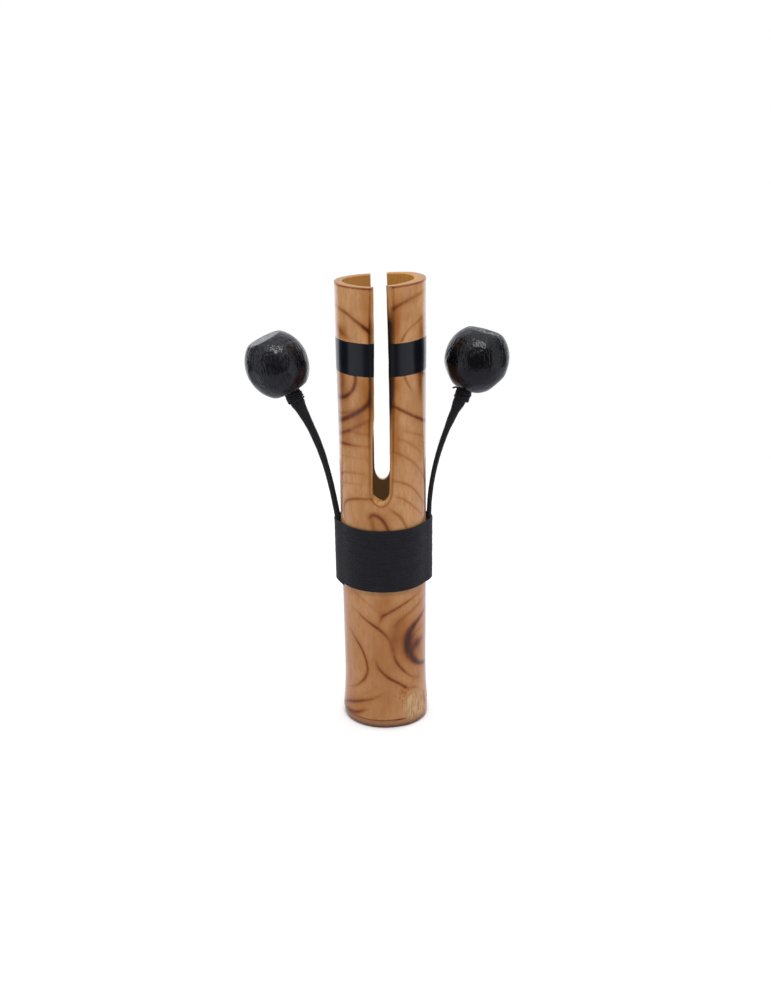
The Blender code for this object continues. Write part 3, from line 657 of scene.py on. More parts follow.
def lacquered_bamboo():
    """Bamboo skin under clear lacquer: tan with fine upright fibres, burnt where the flame went, and
    darkened the same way where shade is painted in.
    """
    material, start = new_finish("lacquered_bamboo")
    place = start.place()
    # Darkness from flame marks and painted shade alike, stored on the mesh.
    burn_and_shade = start.kept("scorch_and_painted_shade")
    scar = start.kept("bud_scar")
    height = start.height(place)
    fibres = start.grain(place, (1900, 1900, 60), 4.0, 0.6)
    cloudy = start.grain(place, (75, 75, 32), 4.0)
    mottle = start.grain(place, (520, 520, 200), 4.0, 0.6)
    flecks = start.grain(place, (1700, 1700, 900), 2.0).step(0.63, 0.75)
    wood = start.mix(cloudy.step(0.30, 0.70), srgb(183, 129, 76), srgb(200, 150, 100))
    wood = start.mix((1 - height.step(30 * MM, 110 * MM)) * 0.5, wood, srgb(174, 118, 71))
    wood = start.mix(mottle.step(0.40, 0.72) * 0.5, wood, srgb(159, 105, 56))
    wood = start.mix(fibres.step(0.35, 0.80) * 0.28, wood, srgb(150, 96, 52))
    wood = start.mix(flecks * 0.42, wood, srgb(118, 66, 34))
    wrinkles = start.grain(place, (1500, 1500, 220), 3.0)
    old_bud = start.mix(wrinkles.step(0.36, 0.64), srgb(165, 121, 77), srgb(200, 159, 113))
    wood = start.mix(scar, wood, old_bud)
    burn_and_shade = burn_and_shade * (0.74 + 0.52 * start.grain(place, (520, 520, 240), 4.0, 0.6))
    tan = start.mix(burn_and_shade.step(0.0, 0.45), wood, srgb(162, 102, 48))
    brown = start.mix(burn_and_shade.step(0.32, 0.74), tan, srgb(118, 60, 20))
    colour = start.mix(burn_and_shade.step(0.64, 1.0), brown, srgb(66, 31, 14))
    sawn_foot = (1 - height.step(2.0 * MM, 5.0 * MM)) * (1 - burn_and_shade.step(0.64, 1.0))
    colour = start.mix(sawn_foot * 0.42, colour, srgb(130, 103, 80))
    uneven = start.grain(place, (240, 240, 60), 3.0)
    bumps = fibres * 0.5 + uneven * 0.5
    relief = start.relief(0.10, 0.15 * MM, bumps)
    inputs = {"Base Color": colour, "Roughness": 0.36 + 0.12 * uneven, "Normal": relief}
    inputs |= {"Specular IOR Level": 0.04, "Coat Weight": 0.95, "Coat IOR": 1.30, "Coat Roughness": 0.07}
    inputs |= {"Sheen Weight": 0.15, "Sheen Roughness": 0.3}
    skin = start.principled(inputs)
    inputs = {"Base Color": srgb(12, 13, 21), "Roughness": 0.24 + 0.12 * uneven, "Normal": relief}
    inputs |= {"Specular IOR Level": 0.12, "Coat Weight": 0.19, "Coat Roughness": 0.07}
    paint = start.principled(inputs)
    painted = start.node("ShaderNodeMixShader", None, {0: painted_stripe(start, place), 1: skin, 2: paint})
    start.surface(painted)
    return material


def bare_bamboo():
    """Cut bamboo: tan on the bevels, browner at their edges, golden in the bore and paler deep in it, and
    dark on the slot's cut faces, partly from the flame and partly as painted shade.
    """
    material, start = new_finish("bare_bamboo")
    place = start.place()
    flat = start.node("ShaderNodeVectorMath", {"operation": "MULTIPLY"}, {0: place, 1: (1.0, 1.0, 0.0)})
    reach = start.node("ShaderNodeVectorMath", {"operation": "LENGTH"}, {0: flat}, "Value")
    height = start.height(place)
    under_skin = TUBE_RADIUS_MID + (height - TUBE_HEIGHT / 2) * TUBE_TAPER - reach
    fibres = start.grain(place, (1400, 1400, 60), 4.0, 0.6)
    pores = start.grain(place, (2600, 2600, 160), 2.0).step(0.64, 0.74)
    wood = start.mix(fibres.step(0.3, 0.7), srgb(168, 116, 66), srgb(200, 150, 98))
    wood = start.mix(pores * 0.4, wood, srgb(118, 76, 46))
    wood = start.mix((1 - under_skin.step(0.1 * MM, 1.0 * MM)) * 0.35, wood, srgb(150, 96, 58))
    worn = start.mix(fibres.step(0.3, 0.7), srgb(142, 110, 78), srgb(166, 134, 100))
    wood = start.mix(height.step(197.4 * MM, 198.6 * MM) * 0.75, wood, worn)
    golden = start.mix(height.step(118 * MM, 170 * MM), srgb(182, 152, 112), srgb(187, 136, 66))
    bore = start.mix(fibres.step(0.3, 0.7) * 0.35, golden, srgb(160, 112, 58))
    deep = under_skin.step(TUBE_WALL - 0.5 * MM, TUBE_WALL + 0.3 * MM)
    # The slot's cut faces darken between these heights: partly flame marks, partly painted shade inside the
    # slot.
    cut_face = under_skin.step(1.2 * MM, 2.0 * MM) * (1 - deep)
    burnt_and_shaded = height.step(196 * MM, 182 * MM) * height.step(118 * MM, 140 * MM)
    wood = start.mix(cut_face * burnt_and_shaded * 0.85, wood, srgb(52, 34, 26))
    # Flame marks and painted shade, the same darkening as on the skin.
    burn_and_shade = start.kept("scorch_and_painted_shade")
    brown = start.mix(burn_and_shade.step(0.25, 0.65), wood, srgb(134, 84, 40))
    wood = start.mix(burn_and_shade.step(0.5, 0.95), brown, srgb(46, 28, 18))
    colour = start.mix(deep, wood, bore)
    colour = start.mix(painted_stripe(start, place) * (1 - deep), colour, srgb(18, 18, 22))
    relief = start.relief(0.30, 0.2 * MM, fibres - pores)
    inputs = {"Base Color": colour, "Roughness": 0.42 + 0.2 * fibres, "Normal": relief, "Coat Weight": 0.06}
    inputs |= {"Coat Roughness": 0.25, "Specular IOR Level": 0.07}
    start.surface(start.principled(inputs))
    return material


def finished_mesh(piece):
    """The mesh that an object's modifiers give it."""
    bpy.context.view_layer.update()
    graph = bpy.context.evaluated_depsgraph_get()
    return bpy.data.meshes.new_from_object(piece.evaluated_get(graph))


def keep_on_points(mesh, name, values):
    """Store one number for each point of a mesh, for its finish to read."""
    stored = mesh.attributes.new(name, "FLOAT", "POINT")
    stored.data.foreach_set("value", np.asarray(values, np.float32))


def mesh_points(mesh):
    """The places of a mesh's points."""
    points = np.empty(len(mesh.vertices) * 3)
    mesh.vertices.foreach_get("co", points)
    return points.reshape(-1, 3)


tube_finishes = (lacquered_bamboo(), bare_bamboo())
for shape, slots in ((tube, face_slots), (cutter, np.full(len(cutter.data.polygons), BARE))):
    for material in tube_finishes:
        shape.data.materials.append(material)
    shape.data.polygons.foreach_set("material_index", slots.astype(np.int32))
cut = tube.modifiers.new("slot", "BOOLEAN")
cut.object = cutter
cut.solver = "MANIFOLD"
slit = finished_mesh(tube)
tube.modifiers.clear()
tube.data = slit
bpy.data.objects.remove(cutter)
skin_points = mesh_points(slit)
# Store the flame marks and the painted shade together on the tube's points.
keep_on_points(slit, "scorch_and_painted_shade", darkness_by_burns_and_shade(skin_points))
keep_on_points(slit, "bud_scar", bud_scar(skin_points))
slit.shade_smooth()
slit.set_sharp_from_angle(angle=SLIT_SHARP)
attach(tube, "handle")
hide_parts("bamboo_tube")

# Stems, the splints: one springy oval splint of cane on each side. Its tail lies flat on the tube under
# the waist lashing, its free part sweeps out, and its end is glued into the bead's bore.
BAND_LOW = 66.4 * MM
BAND_HIGH = 94.7 * MM
TAIL_LOW = 69.0 * MM
TAIL_GAP = 0.3 * MM
TAIL_POINTS = 12
STEM_FOOT_X = 20.1 * MM
STEM_POINTS = 161
CANE_WIDTH = 2.8 * MM
CANE_SIDES = 16
BORE_INSERT = 8.0 * MM
INSERT_POINTS = 5
SIDES = {
    "left": {
        "sign": -1.0,
        "bead_centre": Vector((-44.3, 0.0, 163.8)) * MM,
        "low_flat": 12.2 * MM,
        "tilt": math.radians(26.0),
        "lean": math.radians(8.5),
        "foot_handle": 33.2 * MM,
        "bead_handle": 20.1 * MM,
        "cane": 1.2 * MM,
    },
    "right": {
        "sign": 1.0,
        "bead_centre": Vector((40.7, 0.0, 165.0)) * MM,
        "low_flat": 13.4 * MM,
        "tilt": math.radians(21.0),
        "lean": math.radians(0.5),
        "foot_handle": 29.3 * MM,
        "bead_handle": 8.6 * MM,
        "cane": 1.0 * MM,
    },
}


def bead_axis(side):
    """Direction of a bead's bore, away from its stem."""
    return Vector((side["sign"] * math.sin(side["tilt"]), 0.0, math.cos(side["tilt"])))


def neck_place(side):
    """Where a stem meets the lower flat of its bead."""
    return side["bead_centre"] - bead_axis(side) * side["low_flat"]


def stem_route(side):
    """Points along a stem's free part, from the top of the lashing to the bead."""
    foot = Vector((side["sign"] * STEM_FOOT_X, 0.0, BAND_HIGH))
    lean = Vector((side["sign"] * math.sin(side["lean"]), 0.0, math.cos(side["lean"])))
    neck = neck_place(side)
    handles = (foot + lean * side["foot_handle"], neck - bead_axis(side) * side["bead_handle"])
    return np.array(interpolate_bezier(foot, *handles, neck, STEM_POINTS))


def headings(path):
    """The direction of a path at each of its points."""
    runs = np.gradient(path, axis=0)
    return runs / np.linalg.norm(runs, axis=1)[:, None]


def swept(path, outward, half_out, half_side, sides, roundness=1.0):
    """Oval rings along a path: half as wide outward as half_out, and sideways as half_side.
    A roundness under 1 squares the oval."""
    ahead = headings(path)
    outward = outward - ahead * (outward * ahead).sum(axis=1)[:, None]
    outward = outward / np.linalg.norm(outward, axis=1)[:, None]
    sideways = np.cross(outward, ahead)
    turn = np.linspace(0.0, math.tau, sides, endpoint=False)
    waves = np.cos(turn), np.sin(turn)
    across, aside = (np.sign(wave) * np.abs(wave) ** roundness for wave in waves)
    ring = half_out * across[:, None] * outward[:, None] + half_side * aside[:, None] * sideways[:, None]
    return path[:, None] + ring


def stem_out(path):
    """The direction across a stem in the plane of both stems, away from the tube for the right one."""
    ahead = headings(path)
    return np.stack([ahead[:, 2], np.zeros(len(path)), -ahead[:, 0]], axis=1)


def split_cane():
    """Split cane: straw yellow with long fibres."""
    material, start = new_finish("split_cane")
    place = start.place()
    fibres = start.grain(place, (3000, 3000, 90), 3.0)
    colour = start.mix(fibres, srgb(150, 112, 66), srgb(196, 158, 104))
    relief = start.relief(0.4, 0.1 * MM, fibres)
    inputs = {"Base Color": colour, "Roughness": 0.5 + 0.2 * fibres, "Normal": relief}
    start.surface(start.principled(inputs))
    return material


def bend_with_stem(piece, name):
    """Bake a piece's placement into its mesh. The route of the stem on its side is worked out but not used,
    so the piece does not bend with it.
    """
    route = stem_route(SIDES[name])
    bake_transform(piece)


cane_finish = split_cane()
for name, side in SIDES.items():
    route = stem_route(side)
    tail_x = side["sign"] * (bamboo_radius(TAIL_LOW) + TAIL_GAP + side["cane"] / 2)
    tail_z = np.linspace(TAIL_LOW, BAND_HIGH, TAIL_POINTS, endpoint=False)
    tail = np.stack([np.full(TAIL_POINTS, tail_x), np.zeros(TAIL_POINTS), tail_z], axis=1)
    end = route[-1] + np.array(bead_axis(side)) * np.linspace(0.0, BORE_INSERT, INSERT_POINTS)[1:, None]
    path = np.vstack([tail, route, end])
    oval = swept(path, stem_out(path), side["cane"] / 2, CANE_WIDTH / 2, CANE_SIDES)
    splint = skinned(name + "_splint", oval)
    splint.data.materials.append(cane_finish)
    splint.data.shade_smooth()
    bend_with_stem(splint, name)
    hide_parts(name + "_stem_core")

# Waist lashing: one black waxed thread wound level and close round the tube's waist, over the tails of
# both splints, which make it swell at the sides. Its end is tucked under, and a loose turn crosses.
LASHING_THREAD = 0.94 * MM
LASHING_TURNS = 30
LASHING_TURN_POINTS = 96
LASHING_STEP = 0.30
LASHING_SIDES = 12
LASHING_ROUNDNESS = 0.5
TAIL_SPREAD = math.radians(30.0)
TAIL_SWELL = 1.75 * MM
LASHING_GAP = 0.25 * MM
LASHING_WANDER = 0.10 * MM
LASHING_SWELLS = 9.0 * MM


def black_thread(name, colour, sheen):
    """Black twisted thread, dull, with a little bloom where its fibres catch the light."""
    material, start = new_finish(name)
    place = start.place()
    fuzz = start.grain(place, (4200, 4200, 4200), 3.0, 0.6)
    worn = start.grain(place, (260, 260, 260), 3.0)
    dark = start.mix(fuzz.step(0.35, 0.75), srgb(*[part * 0.6 for part in colour]), srgb(*colour))
    paler = start.mix(worn.step(0.45, 0.75) * 0.5, dark, srgb(*[part * 1.35 for part in colour]))
    relief = start.relief(0.5, 0.08 * MM, fuzz)
    inputs = {"Base Color": paler, "Roughness": 0.62 + 0.2 * fuzz, "Normal": relief}
    inputs |= {"Sheen Weight": sheen, "Sheen Roughness": 0.4, "Specular IOR Level": 0.24}
    start.surface(start.principled(inputs))
    return material


def lashing_radius(angle, z):
    """Distance of the lashing thread's middle from the tube's axis: on the skin, or over a tail."""
    off_side = np.arcsin(np.minimum(1.0, np.abs(np.sin(angle))))
    swell = np.where(off_side < TAIL_SPREAD, np.cos(off_side / TAIL_SPREAD * math.pi / 2) ** 2, 0.0)
    return bamboo_radius(z) + LASHING_GAP + LASHING_THREAD / 2 + TAIL_SWELL * swell


def outward_from_axis(angle):
    """Directions away from the tube's axis."""
    return np.stack([np.cos(angle), np.sin(angle), np.zeros(len(angle))], axis=1)


def round_the_lashing(angle, level, rise):
    """Places at these angles and heights on the lashing, raised a little from where its thread lies."""
    reach = lashing_radius(angle, level) + rise
    return outward_from_axis(angle) * reach[:, None] + (0, 0, 1) * level[:, None]


def thread_piece(name, path, outward, thickness, sides, finish, roundness=1.0):
    """A thread along a path: round, or pressed squarer by its neighbours with a roundness under 1."""
    piece = skinned(name, swept(path, outward, thickness / 2, thickness / 2, sides, roundness))
    piece.data.materials.append(finish)
    piece.data.shade_smooth()
    return piece


lashing_finish = black_thread("lashing_thread", (19, 19, 25), 0.12)
turn = np.linspace(0.0, LASHING_TURNS, LASHING_TURNS * LASHING_TURN_POINTS + 1)
angle = math.tau * turn + math.pi / 2
stepped = np.floor(turn) + eased(turn % 1.0, 1.0 - LASHING_STEP, 1.0)
share = np.minimum(stepped / (LASHING_TURNS - 1), 1.0)
level = BAND_LOW + LASHING_THREAD / 2 + (BAND_HIGH - BAND_LOW - LASHING_THREAD) * share
around = outward_from_axis(angle)
uneven = wander(around * 20 * MM + (0, 0, 1) * level[:, None] * 6.0, LASHING_SWELLS, 5)
path = round_the_lashing(angle, level + LASHING_WANDER * uneven, LASHING_WANDER * np.roll(uneven, 400))
lashing = thread_piece(
    "waist_lashing", path, around, LASHING_THREAD, LASHING_SIDES, lashing_finish, LASHING_ROUNDNESS
)
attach(lashing, "handle")
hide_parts("waist_binding")

# The lashing's crossing turn and its cut end, both of the same thread: the turn slants over the top
# edge on the left of the front, and the end sticks out low on the left. Each is a row of places, in
# degrees round the tube from its right and millimetres up from its foot.
CROSSING = [(-174, 91.5), (-165, 91.3), (-156, 90.8), (-148, 90.0), (-138, 88.8)]
CUT_END = [(-172, 67.0), (-166, 66.6), (-160, 66.2), (-155, 65.9)]
LOOSE_RISE = 0.22 * MM
LOOSE_THREAD = 0.8 * LASHING_THREAD

for name, places in (("lashing_crossing", CROSSING), ("lashing_end", CUT_END)):
    degrees, heights = smooth_route(places, 1.0).T
    angle = np.radians(degrees)
    path = round_the_lashing(angle, heights * MM, LOOSE_RISE)
    loose = thread_piece(name, path, outward_from_axis(angle), LOOSE_THREAD, LASHING_SIDES, lashing_finish)
    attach(loose, "handle")

# Stems, the whipping: finer black thread wrapped close round each splint from the lashing to the bead,
# built up in more layers towards the bead, so the stem thickens like a cone under it.
# Each table gives (distance below the bead, thickness seen from the front) in millimetres.
WHIPPING_THREAD = 0.42 * MM
WHIPPING_PITCH = 0.40 * MM
WHIPPING_TURN_POINTS = 14
WHIPPING_SIDES = 6
WHIPPING_UNDER = 6.0 * MM
WHIPPING_ENDS = (0.3 * MM, 0.2 * MM)
WHIPPING_UNEVEN = 0.05
WHIPPING_SWELLS = 2.5 * MM
STEM_THICKNESS = {
    "left": [(0, 6.5), (4, 6.5), (7.2, 6.2), (9.0, 5.2), (10.2, 4.95), (13.3, 4.4), (16.2, 3.9),
             (19.2, 3.58), (25, 3.42), (31, 3.1), (36, 2.95), (42, 2.8), (50, 2.7), (70, 2.65)],
    "right": [(0, 6.0), (5.4, 5.7), (8.3, 4.9), (11.2, 3.86), (14.1, 3.54), (17, 3.35), (19.9, 2.75),
              (25.6, 2.54), (31, 2.4), (37, 2.3), (45, 2.2), (70, 2.15)],
}
STEM_EXTRA_WIDTH = {"left": 1.0, "right": 1.3}
EXTRA_WIDTH_FROM = (6, 20)

stem_finish = black_thread("stem_thread", (28, 28, 34), 0.15)
for name, side in SIDES.items():
    route = stem_route(side)
    route = np.vstack([route[:1] - (0.0, 0.0, WHIPPING_UNDER), route])
    lengths = np.concatenate([[0.0], np.cumsum(np.linalg.norm(np.diff(route, axis=0), axis=1))])
    turns = lengths[-1] / WHIPPING_PITCH
    first, last = WHIPPING_ENDS[0], lengths[-1] - WHIPPING_ENDS[1]
    way = np.linspace(first, last, int(turns * WHIPPING_TURN_POINTS))
    middle = np.stack([np.interp(way, lengths, route[:, axis]) for axis in range(3)], axis=1)
    out = stem_out(middle)
    below_bead = (lengths[-1] - way) / MM
    across = np.interp(below_bead, *zip(*STEM_THICKNESS[name])) * MM / 2 - WHIPPING_THREAD / 2
    wider = np.interp(below_bead, EXTRA_WIDTH_FROM, (0, 1)) * STEM_EXTRA_WIDTH[name] * MM / 2
    angle = math.tau * way / WHIPPING_PITCH
    uneven = 1.0 + WHIPPING_UNEVEN * wander(middle, WHIPPING_SWELLS, 6)
    ring = out * (across * uneven * np.cos(angle))[:, None]
    ring = ring + np.array((0, 1, 0)) * ((across + wider) * uneven * np.sin(angle))[:, None]
    whipping = thread_piece(
        name + "_stem_wrap", middle + ring, ring, WHIPPING_THREAD, WHIPPING_SIDES, stem_finish
    )
    bend_with_stem(whipping, name)
    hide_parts(name + "_stem_whipping")

# Necks: a few coarse turns of doubled thread, wound over the top of the whipping to hold the bead, with
# a slanting turn over them and the cut ends left sticking out.
NECK_THREAD = 0.72 * MM
NECK_PITCH = 0.78 * MM
NECK_TURN_POINTS = 28
NECK_TURNS = 6
NECK_SIDES = 8
NECK_GAP = 0.2 * MM
NECK_BULGE = 0.16 * MM
NECK_STRAY = 0.14 * MM
SLANT_POINTS = 60
SLANT_ANGLES = (math.radians(-150), math.radians(100))
SLANT_SINK = 0.15 * MM
SLANT_THREAD = 0.9 * NECK_THREAD
END_POINTS = 16
END_TURN = 24
END_DROP = 0.5 * MM
END_THREAD = 0.8 * MM
END_SIDES = 6
END_FACING = (0.3, 0.2, 1.0)
# In millimetres: radius of the top and the lowest turn, where the slanting turn starts and ends below
# the bead, where the loose end leaves, in degrees and below the bead, and how far it sticks out
NECKS = {
    "left": {"top": 3.50, "low": 3.95, "slant": (0.8, 4.2), "loose": (200, 4.6), "sticks_out": 0.3},
    "right": {"top": 3.35, "low": 3.55, "slant": (4.2, 0.8), "loose": (165, 1.2), "sticks_out": 1.8},
}


def neck_point(side, angle, down, radius):
    """Points at an angle round a bead's axis, so far down from its lower flat, and their directions out."""
    axis = np.array(bead_axis(side))
    out = np.array((axis[2], 0.0, -axis[0]))
    ring = out * np.cos(angle)[:, None] + np.array((0, 1, 0)) * np.sin(angle)[:, None]
    return np.array(neck_place(side)) - axis * down[:, None] + ring * radius[:, None], ring


for name, side in SIDES.items():
    neck = NECKS[name]
    share = np.linspace(0.0, 1.0, NECK_TURNS * NECK_TURN_POINTS + 1)
    angle = math.tau * NECK_TURNS * share
    down = NECK_GAP + NECK_THREAD / 2 + NECK_PITCH * NECK_TURNS * share
    radius = (neck["top"] + (neck["low"] - neck["top"]) * share) * MM - NECK_THREAD / 2
    spin = np.stack([np.cos(angle), np.sin(angle), down / MM], axis=1)
    radius = radius + NECK_BULGE * wander(spin, 1.3, 7 + side["sign"])
    down = down + NECK_STRAY * wander(spin, 1.0, 9 + side["sign"])
    path, ring = neck_point(side, angle, down, radius)
    turns = thread_piece(name + "_neck_turns", path, ring, NECK_THREAD, NECK_SIDES, stem_finish)
    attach(turns, name + "_striker")
    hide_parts(name + "_neck_whipping")

    down = np.linspace(*neck["slant"], SLANT_POINTS) * MM
    lift = (neck["top"] + (neck["low"] - neck["top"]) * down / (NECK_PITCH * NECK_TURNS)) * MM
    path, ring = neck_point(side, np.linspace(*SLANT_ANGLES, SLANT_POINTS), down, lift - SLANT_SINK)
    slanting = thread_piece(name + "_neck_slant", path, ring, SLANT_THREAD, NECK_SIDES, stem_finish)
    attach(slanting, name + "_striker")

    away = np.linspace(0.0, 1.0, END_POINTS)
    angle = np.radians(neck["loose"][0] + END_TURN * away)
    down = neck["loose"][1] * MM + END_DROP * away ** 2
    path, _ = neck_point(side, angle, down, (neck["top"] + neck["sticks_out"] * away) * MM)
    facing = np.tile(END_FACING, (END_POINTS, 1))
    tuft = thread_piece(name + "_thread_end", path, facing, END_THREAD, END_SIDES, stem_finish)
    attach(tuft, name + "_striker")

# Beads: balls turned from wood, trimmed by hand with a knife so that no two are alike, bored for the
# splint and painted with thick black lacquer that shows the tool marks under it.
BEAD_ROWS = 130
BEAD_COLUMNS = 160
BEAD_BORE = 2.2 * MM
BEAD_BORE_DEPTH = 9.0 * MM
BEAD_DENTS = 0.10
BEAD_DENT_SIZE = 0.45
BEAD_TOP_HOLE = 0.02
BEAD_SHARP = math.radians(50.0)
KNOT_SHAPE = (1.0, 1.0, 0.45)
KNOT_RING = 1.1 * MM
KNOT_REACH = (2.2 * MM, 4.6 * MM)
KNOT_WANDER = 1.5 * MM
# A bead's radius is across its bore and its half length along it. Each of its flats, of which the first
# is its top, is a direction in the bead's own axes and a distance from its middle, in millimetres.
BEADS = {
    "left": {
        "radius": 13.45,
        "half_length": 15.0,
        "sharpness": 130.0,
        "rough_top": 0.05,
        "lacquer": ((12, 12, 15), (33, 33, 38)),
        "knot": (-50.2, -12.0, 162.5),
        "flats": [
            ((0.02, 0.0, 1.0), 12.4),
            ((0.0, 0.0, -1.0), 12.2),
            ((-0.707, -0.707, 0.012), 13.1),
            ((0.55, 0.80, -0.20), 13.1),
            ((-0.45, 0.85, 0.28), 13.2),
        ],
    },
    "right": {
        "radius": 13.75,
        "half_length": 14.75,
        "sharpness": 60.0,
        "rough_top": 1.0,
        "lacquer": ((3, 3, 6), (12, 12, 17)),
        "knot": (46.0, 12.4, 166.0),
        "flats": [
            ((-0.105, 0.05, 0.993), 12.5),
            ((0.0, 0.0, -1.0), 13.4),
            ((0.863, -0.247, -0.440), 13.6),
            ((0.991, -0.087, 0.104), 13.8),
            ((-0.750, -0.117, -0.652), 13.8),
            ((0.30, 0.90, 0.30), 13.7),
        ],
    },
}


def bead_surface(bead, side):
    """A bead's rings in its own axes, from the middle of its top flat down to the end of its bore,
    and how far each point belongs to the top flat."""
    low = side["low_flat"]
    polar = np.linspace(BEAD_TOP_HOLE, math.pi - math.atan(BEAD_BORE / low), BEAD_ROWS)[:, None]
    angle = np.linspace(0.0, math.tau, BEAD_COLUMNS, endpoint=False)
    out, up = np.sin(polar), np.cos(polar)
    ways = np.stack(np.broadcast_arrays(out * np.cos(angle), out * np.sin(angle), up), axis=-1)
    dents = wander(ways.reshape(-1, 3), BEAD_DENT_SIZE, 11 + side["sign"]).reshape(ways.shape[:2])
    ball = 1.0 / np.hypot(out / bead["radius"], up / bead["half_length"])
    sharpness = bead["sharpness"]
    shares = [(ball + BEAD_DENTS * dents) ** -sharpness]
    for direction, distance in bead["flats"]:
        facing = np.maximum(ways @ np.array(Vector(direction).normalized()), 0.0)
        shares.append((facing / distance) ** sharpness)
    nearness = sum(shares)
    rings = ways * (MM * nearness ** (-1.0 / sharpness))[..., None]
    mouth = outward_from_axis(angle) * BEAD_BORE - (0.0, 0.0, low)
    bore_end = mouth + (0.0, 0.0, BEAD_BORE_DEPTH)
    rings = np.concatenate([rings, [mouth, bore_end, bore_end * (0.2, 0.2, 1.0)]])
    top_share = np.concatenate([(shares[1] / nearness).ravel(), np.zeros(3 * BEAD_COLUMNS)])
    return rings, top_share


def black_lacquer(name, dark, pale, knot):
    """Thick black lacquer on wood: glossy, over brush marks, fine grain and small pits that break up
    what it mirrors, and rougher where the end grain was cut flat."""
    material, start = new_finish(name)
    place = start.place()
    cut_end = start.kept("cut_end")
    upper = start.height(place).step(162 * MM, 170 * MM)
    brushed = start.grain(place, (900, 900, 330), 1.5, 0.5)
    grain = start.grain(place, (2600, 2600, 1300), 1.0)
    broad = start.grain(place, (170, 170, 170), 2.0)
    specks = start.grain(place, (3000, 3000, 3000), 1.0).step(0.74, 0.80)
    end_grain = start.grain(place, (700, 1300, 1300), 1.0, 0.5)
    colour = start.mix(brushed.step(0.3, 0.75), srgb(*dark), srgb(*pale))
    colour = start.mix(specks * 0.5, colour, srgb(64, 64, 74))
    gloss = 0.15 + 0.10 * brushed + 0.06 * broad + 0.5 * cut_end * end_grain.step(0.38, 0.62)
    stretched = start.node("ShaderNodeVectorMath", {"operation": "MULTIPLY"}, {0: place, 1: KNOT_SHAPE})
    middle = [part * MM * share for part, share in zip(knot, KNOT_SHAPE)]
    away = start.node("ShaderNodeVectorMath", {"operation": "DISTANCE"}, {0: stretched, 1: middle}, "Value")
    rings = start.maths("SINE", (away + broad * KNOT_WANDER) * (math.tau / KNOT_RING))
    rings = rings * (1 - away.step(*KNOT_REACH))
    height = brushed * (0.30 + 1.1 * upper) + grain * 0.08 + broad * 2.0
    height = height + end_grain * cut_end * 2.5 + rings * 0.22
    relief = start.relief(1.0, 0.28 * MM, height)
    inputs = {"Base Color": colour, "Roughness": gloss, "Normal": relief, "Specular IOR Level": 0.24}
    start.surface(start.principled(inputs))
    return material


for name, side in SIDES.items():
    rings, top_share = bead_surface(BEADS[name], side)
    bead = skinned(name + "_lacquered_bead", rings)
    keep_on_points(bead.data, "cut_end", top_share * BEADS[name]["rough_top"])
    turn = Matrix.Rotation(side["sign"] * side["tilt"], 4, "Y")
    bead.data.transform(Matrix.Translation(side["bead_centre"]) @ turn)
    lacquer = black_lacquer(name + "_lacquer", *BEADS[name]["lacquer"], BEADS[name]["knot"])
    bead.data.materials.append(lacquer)
    bead.data.shade_smooth()
    bead.data.set_sharp_from_angle(angle=BEAD_SHARP)
    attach(bead, name + "_striker")
    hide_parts(name + "_bead")

# The studio: a sheet of white paper on a table under one broad soft lamp, with white behind and grey
# panels at both sides. The camera stands a little above, square to the front.
FLOOR_RADIUS = 0.40
FLOOR_SEGMENTS = 96
FLOOR_CAMERA_SHARE = 0.06
FLOOR_GLOW = 1.40
FLOOR_GREY = (0.66, 0.67, 0.76, 1.0)
FLOOR_WHITE = (0.95, 0.95, 0.95, 1.0)
ROOM_FRONT = 0.375
ROOM_SIDES = 1.05
ROOM_EDGES = 0.45
DIM_SHINE = 0.15
PANEL_SHINE = 1.26
OVERHEAD_SHINE = 1.8
BACKDROP_SHINE = (1.45, 1.10)
COOL_SHINE = (0.92, 0.935, 1.0, 1.0)
PLAIN_WHITE = (1.0, 1.0, 1.0, 1.0)
LAMP_PLACE = (0.03, -0.44, 0.88)
LAMP_TARGET = (0.0, 0.0, 0.12)
LAMP_SIZE = (0.34, 0.18)
LAMP_POWER = 3.9
PHOTO_LENS = 50.46
CAMERA_PLACE = (1.51 * MM, -582.83 * MM, 301.3 * MM)
CAMERA_DOWN = 0.3291
CAMERA_YAW = 0.00083
CAMERA_ROLL = -0.01386

work = bmesh.new()
bmesh.ops.create_circle(work, cap_ends=True, segments=FLOOR_SEGMENTS, radius=FLOOR_RADIUS)
sheet_mesh = bpy.data.meshes.new("paper_floor")
work.to_mesh(sheet_mesh)
work.free()
floor = bpy.data.objects.new("paper_floor", sheet_mesh)
bpy.context.scene.collection.objects.link(floor)
paper, start = new_finish("white_paper")
camera_ray = start.node("ShaderNodeLightPath", None, None, "Is Camera Ray")
sheet_colour = start.mix(camera_ray, FLOOR_GREY, FLOOR_WHITE)
sheet = start.node("ShaderNodeBsdfDiffuse", None, {"Color": sheet_colour})
glow = start.node("ShaderNodeEmission", None, {"Strength": FLOOR_GLOW})
mixed = start.node("ShaderNodeMixShader", None, {0: camera_ray * FLOOR_CAMERA_SHARE, 1: sheet, 2: glow})
start.surface(mixed)
floor.data.materials.append(paper)

world = bpy.data.worlds.new("white_room")
bpy.context.scene.world = world
world.use_nodes = True
world.node_tree.nodes.clear()
start = Value(world.node_tree)
rays = {name: start.node("ShaderNodeLightPath", None, None, name)
        for name in ("Is Camera Ray", "Is Glossy Ray", "Is Transmission Ray")}
way = start.node("ShaderNodeTexCoord", None, None, "Generated")
x, y, z = (start.node("ShaderNodeSeparateXYZ", None, {"Vector": way}, axis) for axis in "XYZ")
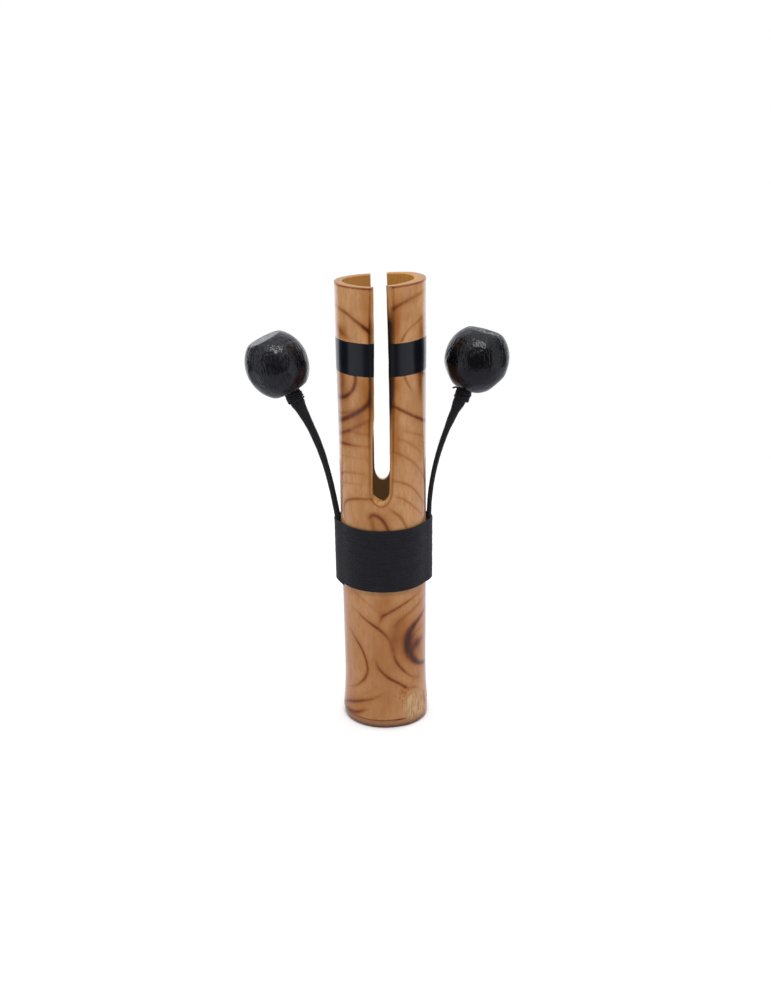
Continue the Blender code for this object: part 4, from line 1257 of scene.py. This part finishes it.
# The angle round the object from straight in front of it, the same on both sides
side_angle = start.maths("ARCTAN2", start.maths("ABSOLUTE", x), 0 - y)
panels = side_angle.step(0.70, 0.92) * (1 - side_angle.step(1.50, 1.70))
low_shine, high_shine = BACKDROP_SHINE
backdrop = side_angle.step(2.12, 2.44) * (low_shine - (low_shine - high_shine) * z.step(-0.10, 0.10))
overhead = z.step(0.45, 0.80)
shine = DIM_SHINE + PANEL_SHINE * panels + backdrop
shine = shine * (1 - overhead) + OVERHEAD_SHINE * overhead
seen = start.maths("MAXIMUM", rays["Is Camera Ray"], rays["Is Transmission Ray"])
glossy = rays["Is Glossy Ray"] * shine
diffuse = ROOM_FRONT + (ROOM_SIDES - ROOM_FRONT) * side_angle.step(0.4, 1.5)
diffuse = diffuse + ROOM_EDGES * (side_angle.step(1.45, 1.75) - side_angle.step(2.35, 2.75))
level = seen + (1 - seen) * (glossy + (1 - rays["Is Glossy Ray"]) * diffuse)
cool = start.mix(rays["Is Glossy Ray"] * (1 - seen), PLAIN_WHITE, COOL_SHINE)
light = start.node("ShaderNodeBackground", None, {"Color": cool, "Strength": level})
start.node("ShaderNodeOutputWorld", None, {"Surface": light})

lamp = bpy.data.lights.new("soft_lamp", "AREA")
lamp.shape = "RECTANGLE"
lamp.size, lamp.size_y = LAMP_SIZE
lamp.energy = LAMP_POWER
lamp_stand = bpy.data.objects.new("soft_lamp", lamp)
lamp_stand.location = LAMP_PLACE
aim = Vector(LAMP_TARGET) - Vector(LAMP_PLACE)
lamp_stand.rotation_euler = aim.to_track_quat("-Z", "Y").to_euler()
bpy.context.scene.collection.objects.link(lamp_stand)

camera = bpy.data.objects.new("camera", bpy.data.cameras.new("camera"))
camera.data.lens = PHOTO_LENS
camera.data.clip_start = 0.01
aim = Matrix.Rotation(CAMERA_YAW, 4, "Z") @ Matrix.Rotation(math.pi / 2 - CAMERA_DOWN, 4, "X")
camera.matrix_world = Matrix.Translation(CAMERA_PLACE) @ aim @ Matrix.Rotation(CAMERA_ROLL, 4, "Z")
bpy.context.scene.collection.objects.link(camera)
bpy.context.scene.camera = camera
bpy.context.scene.view_settings.view_transform = "Standard"
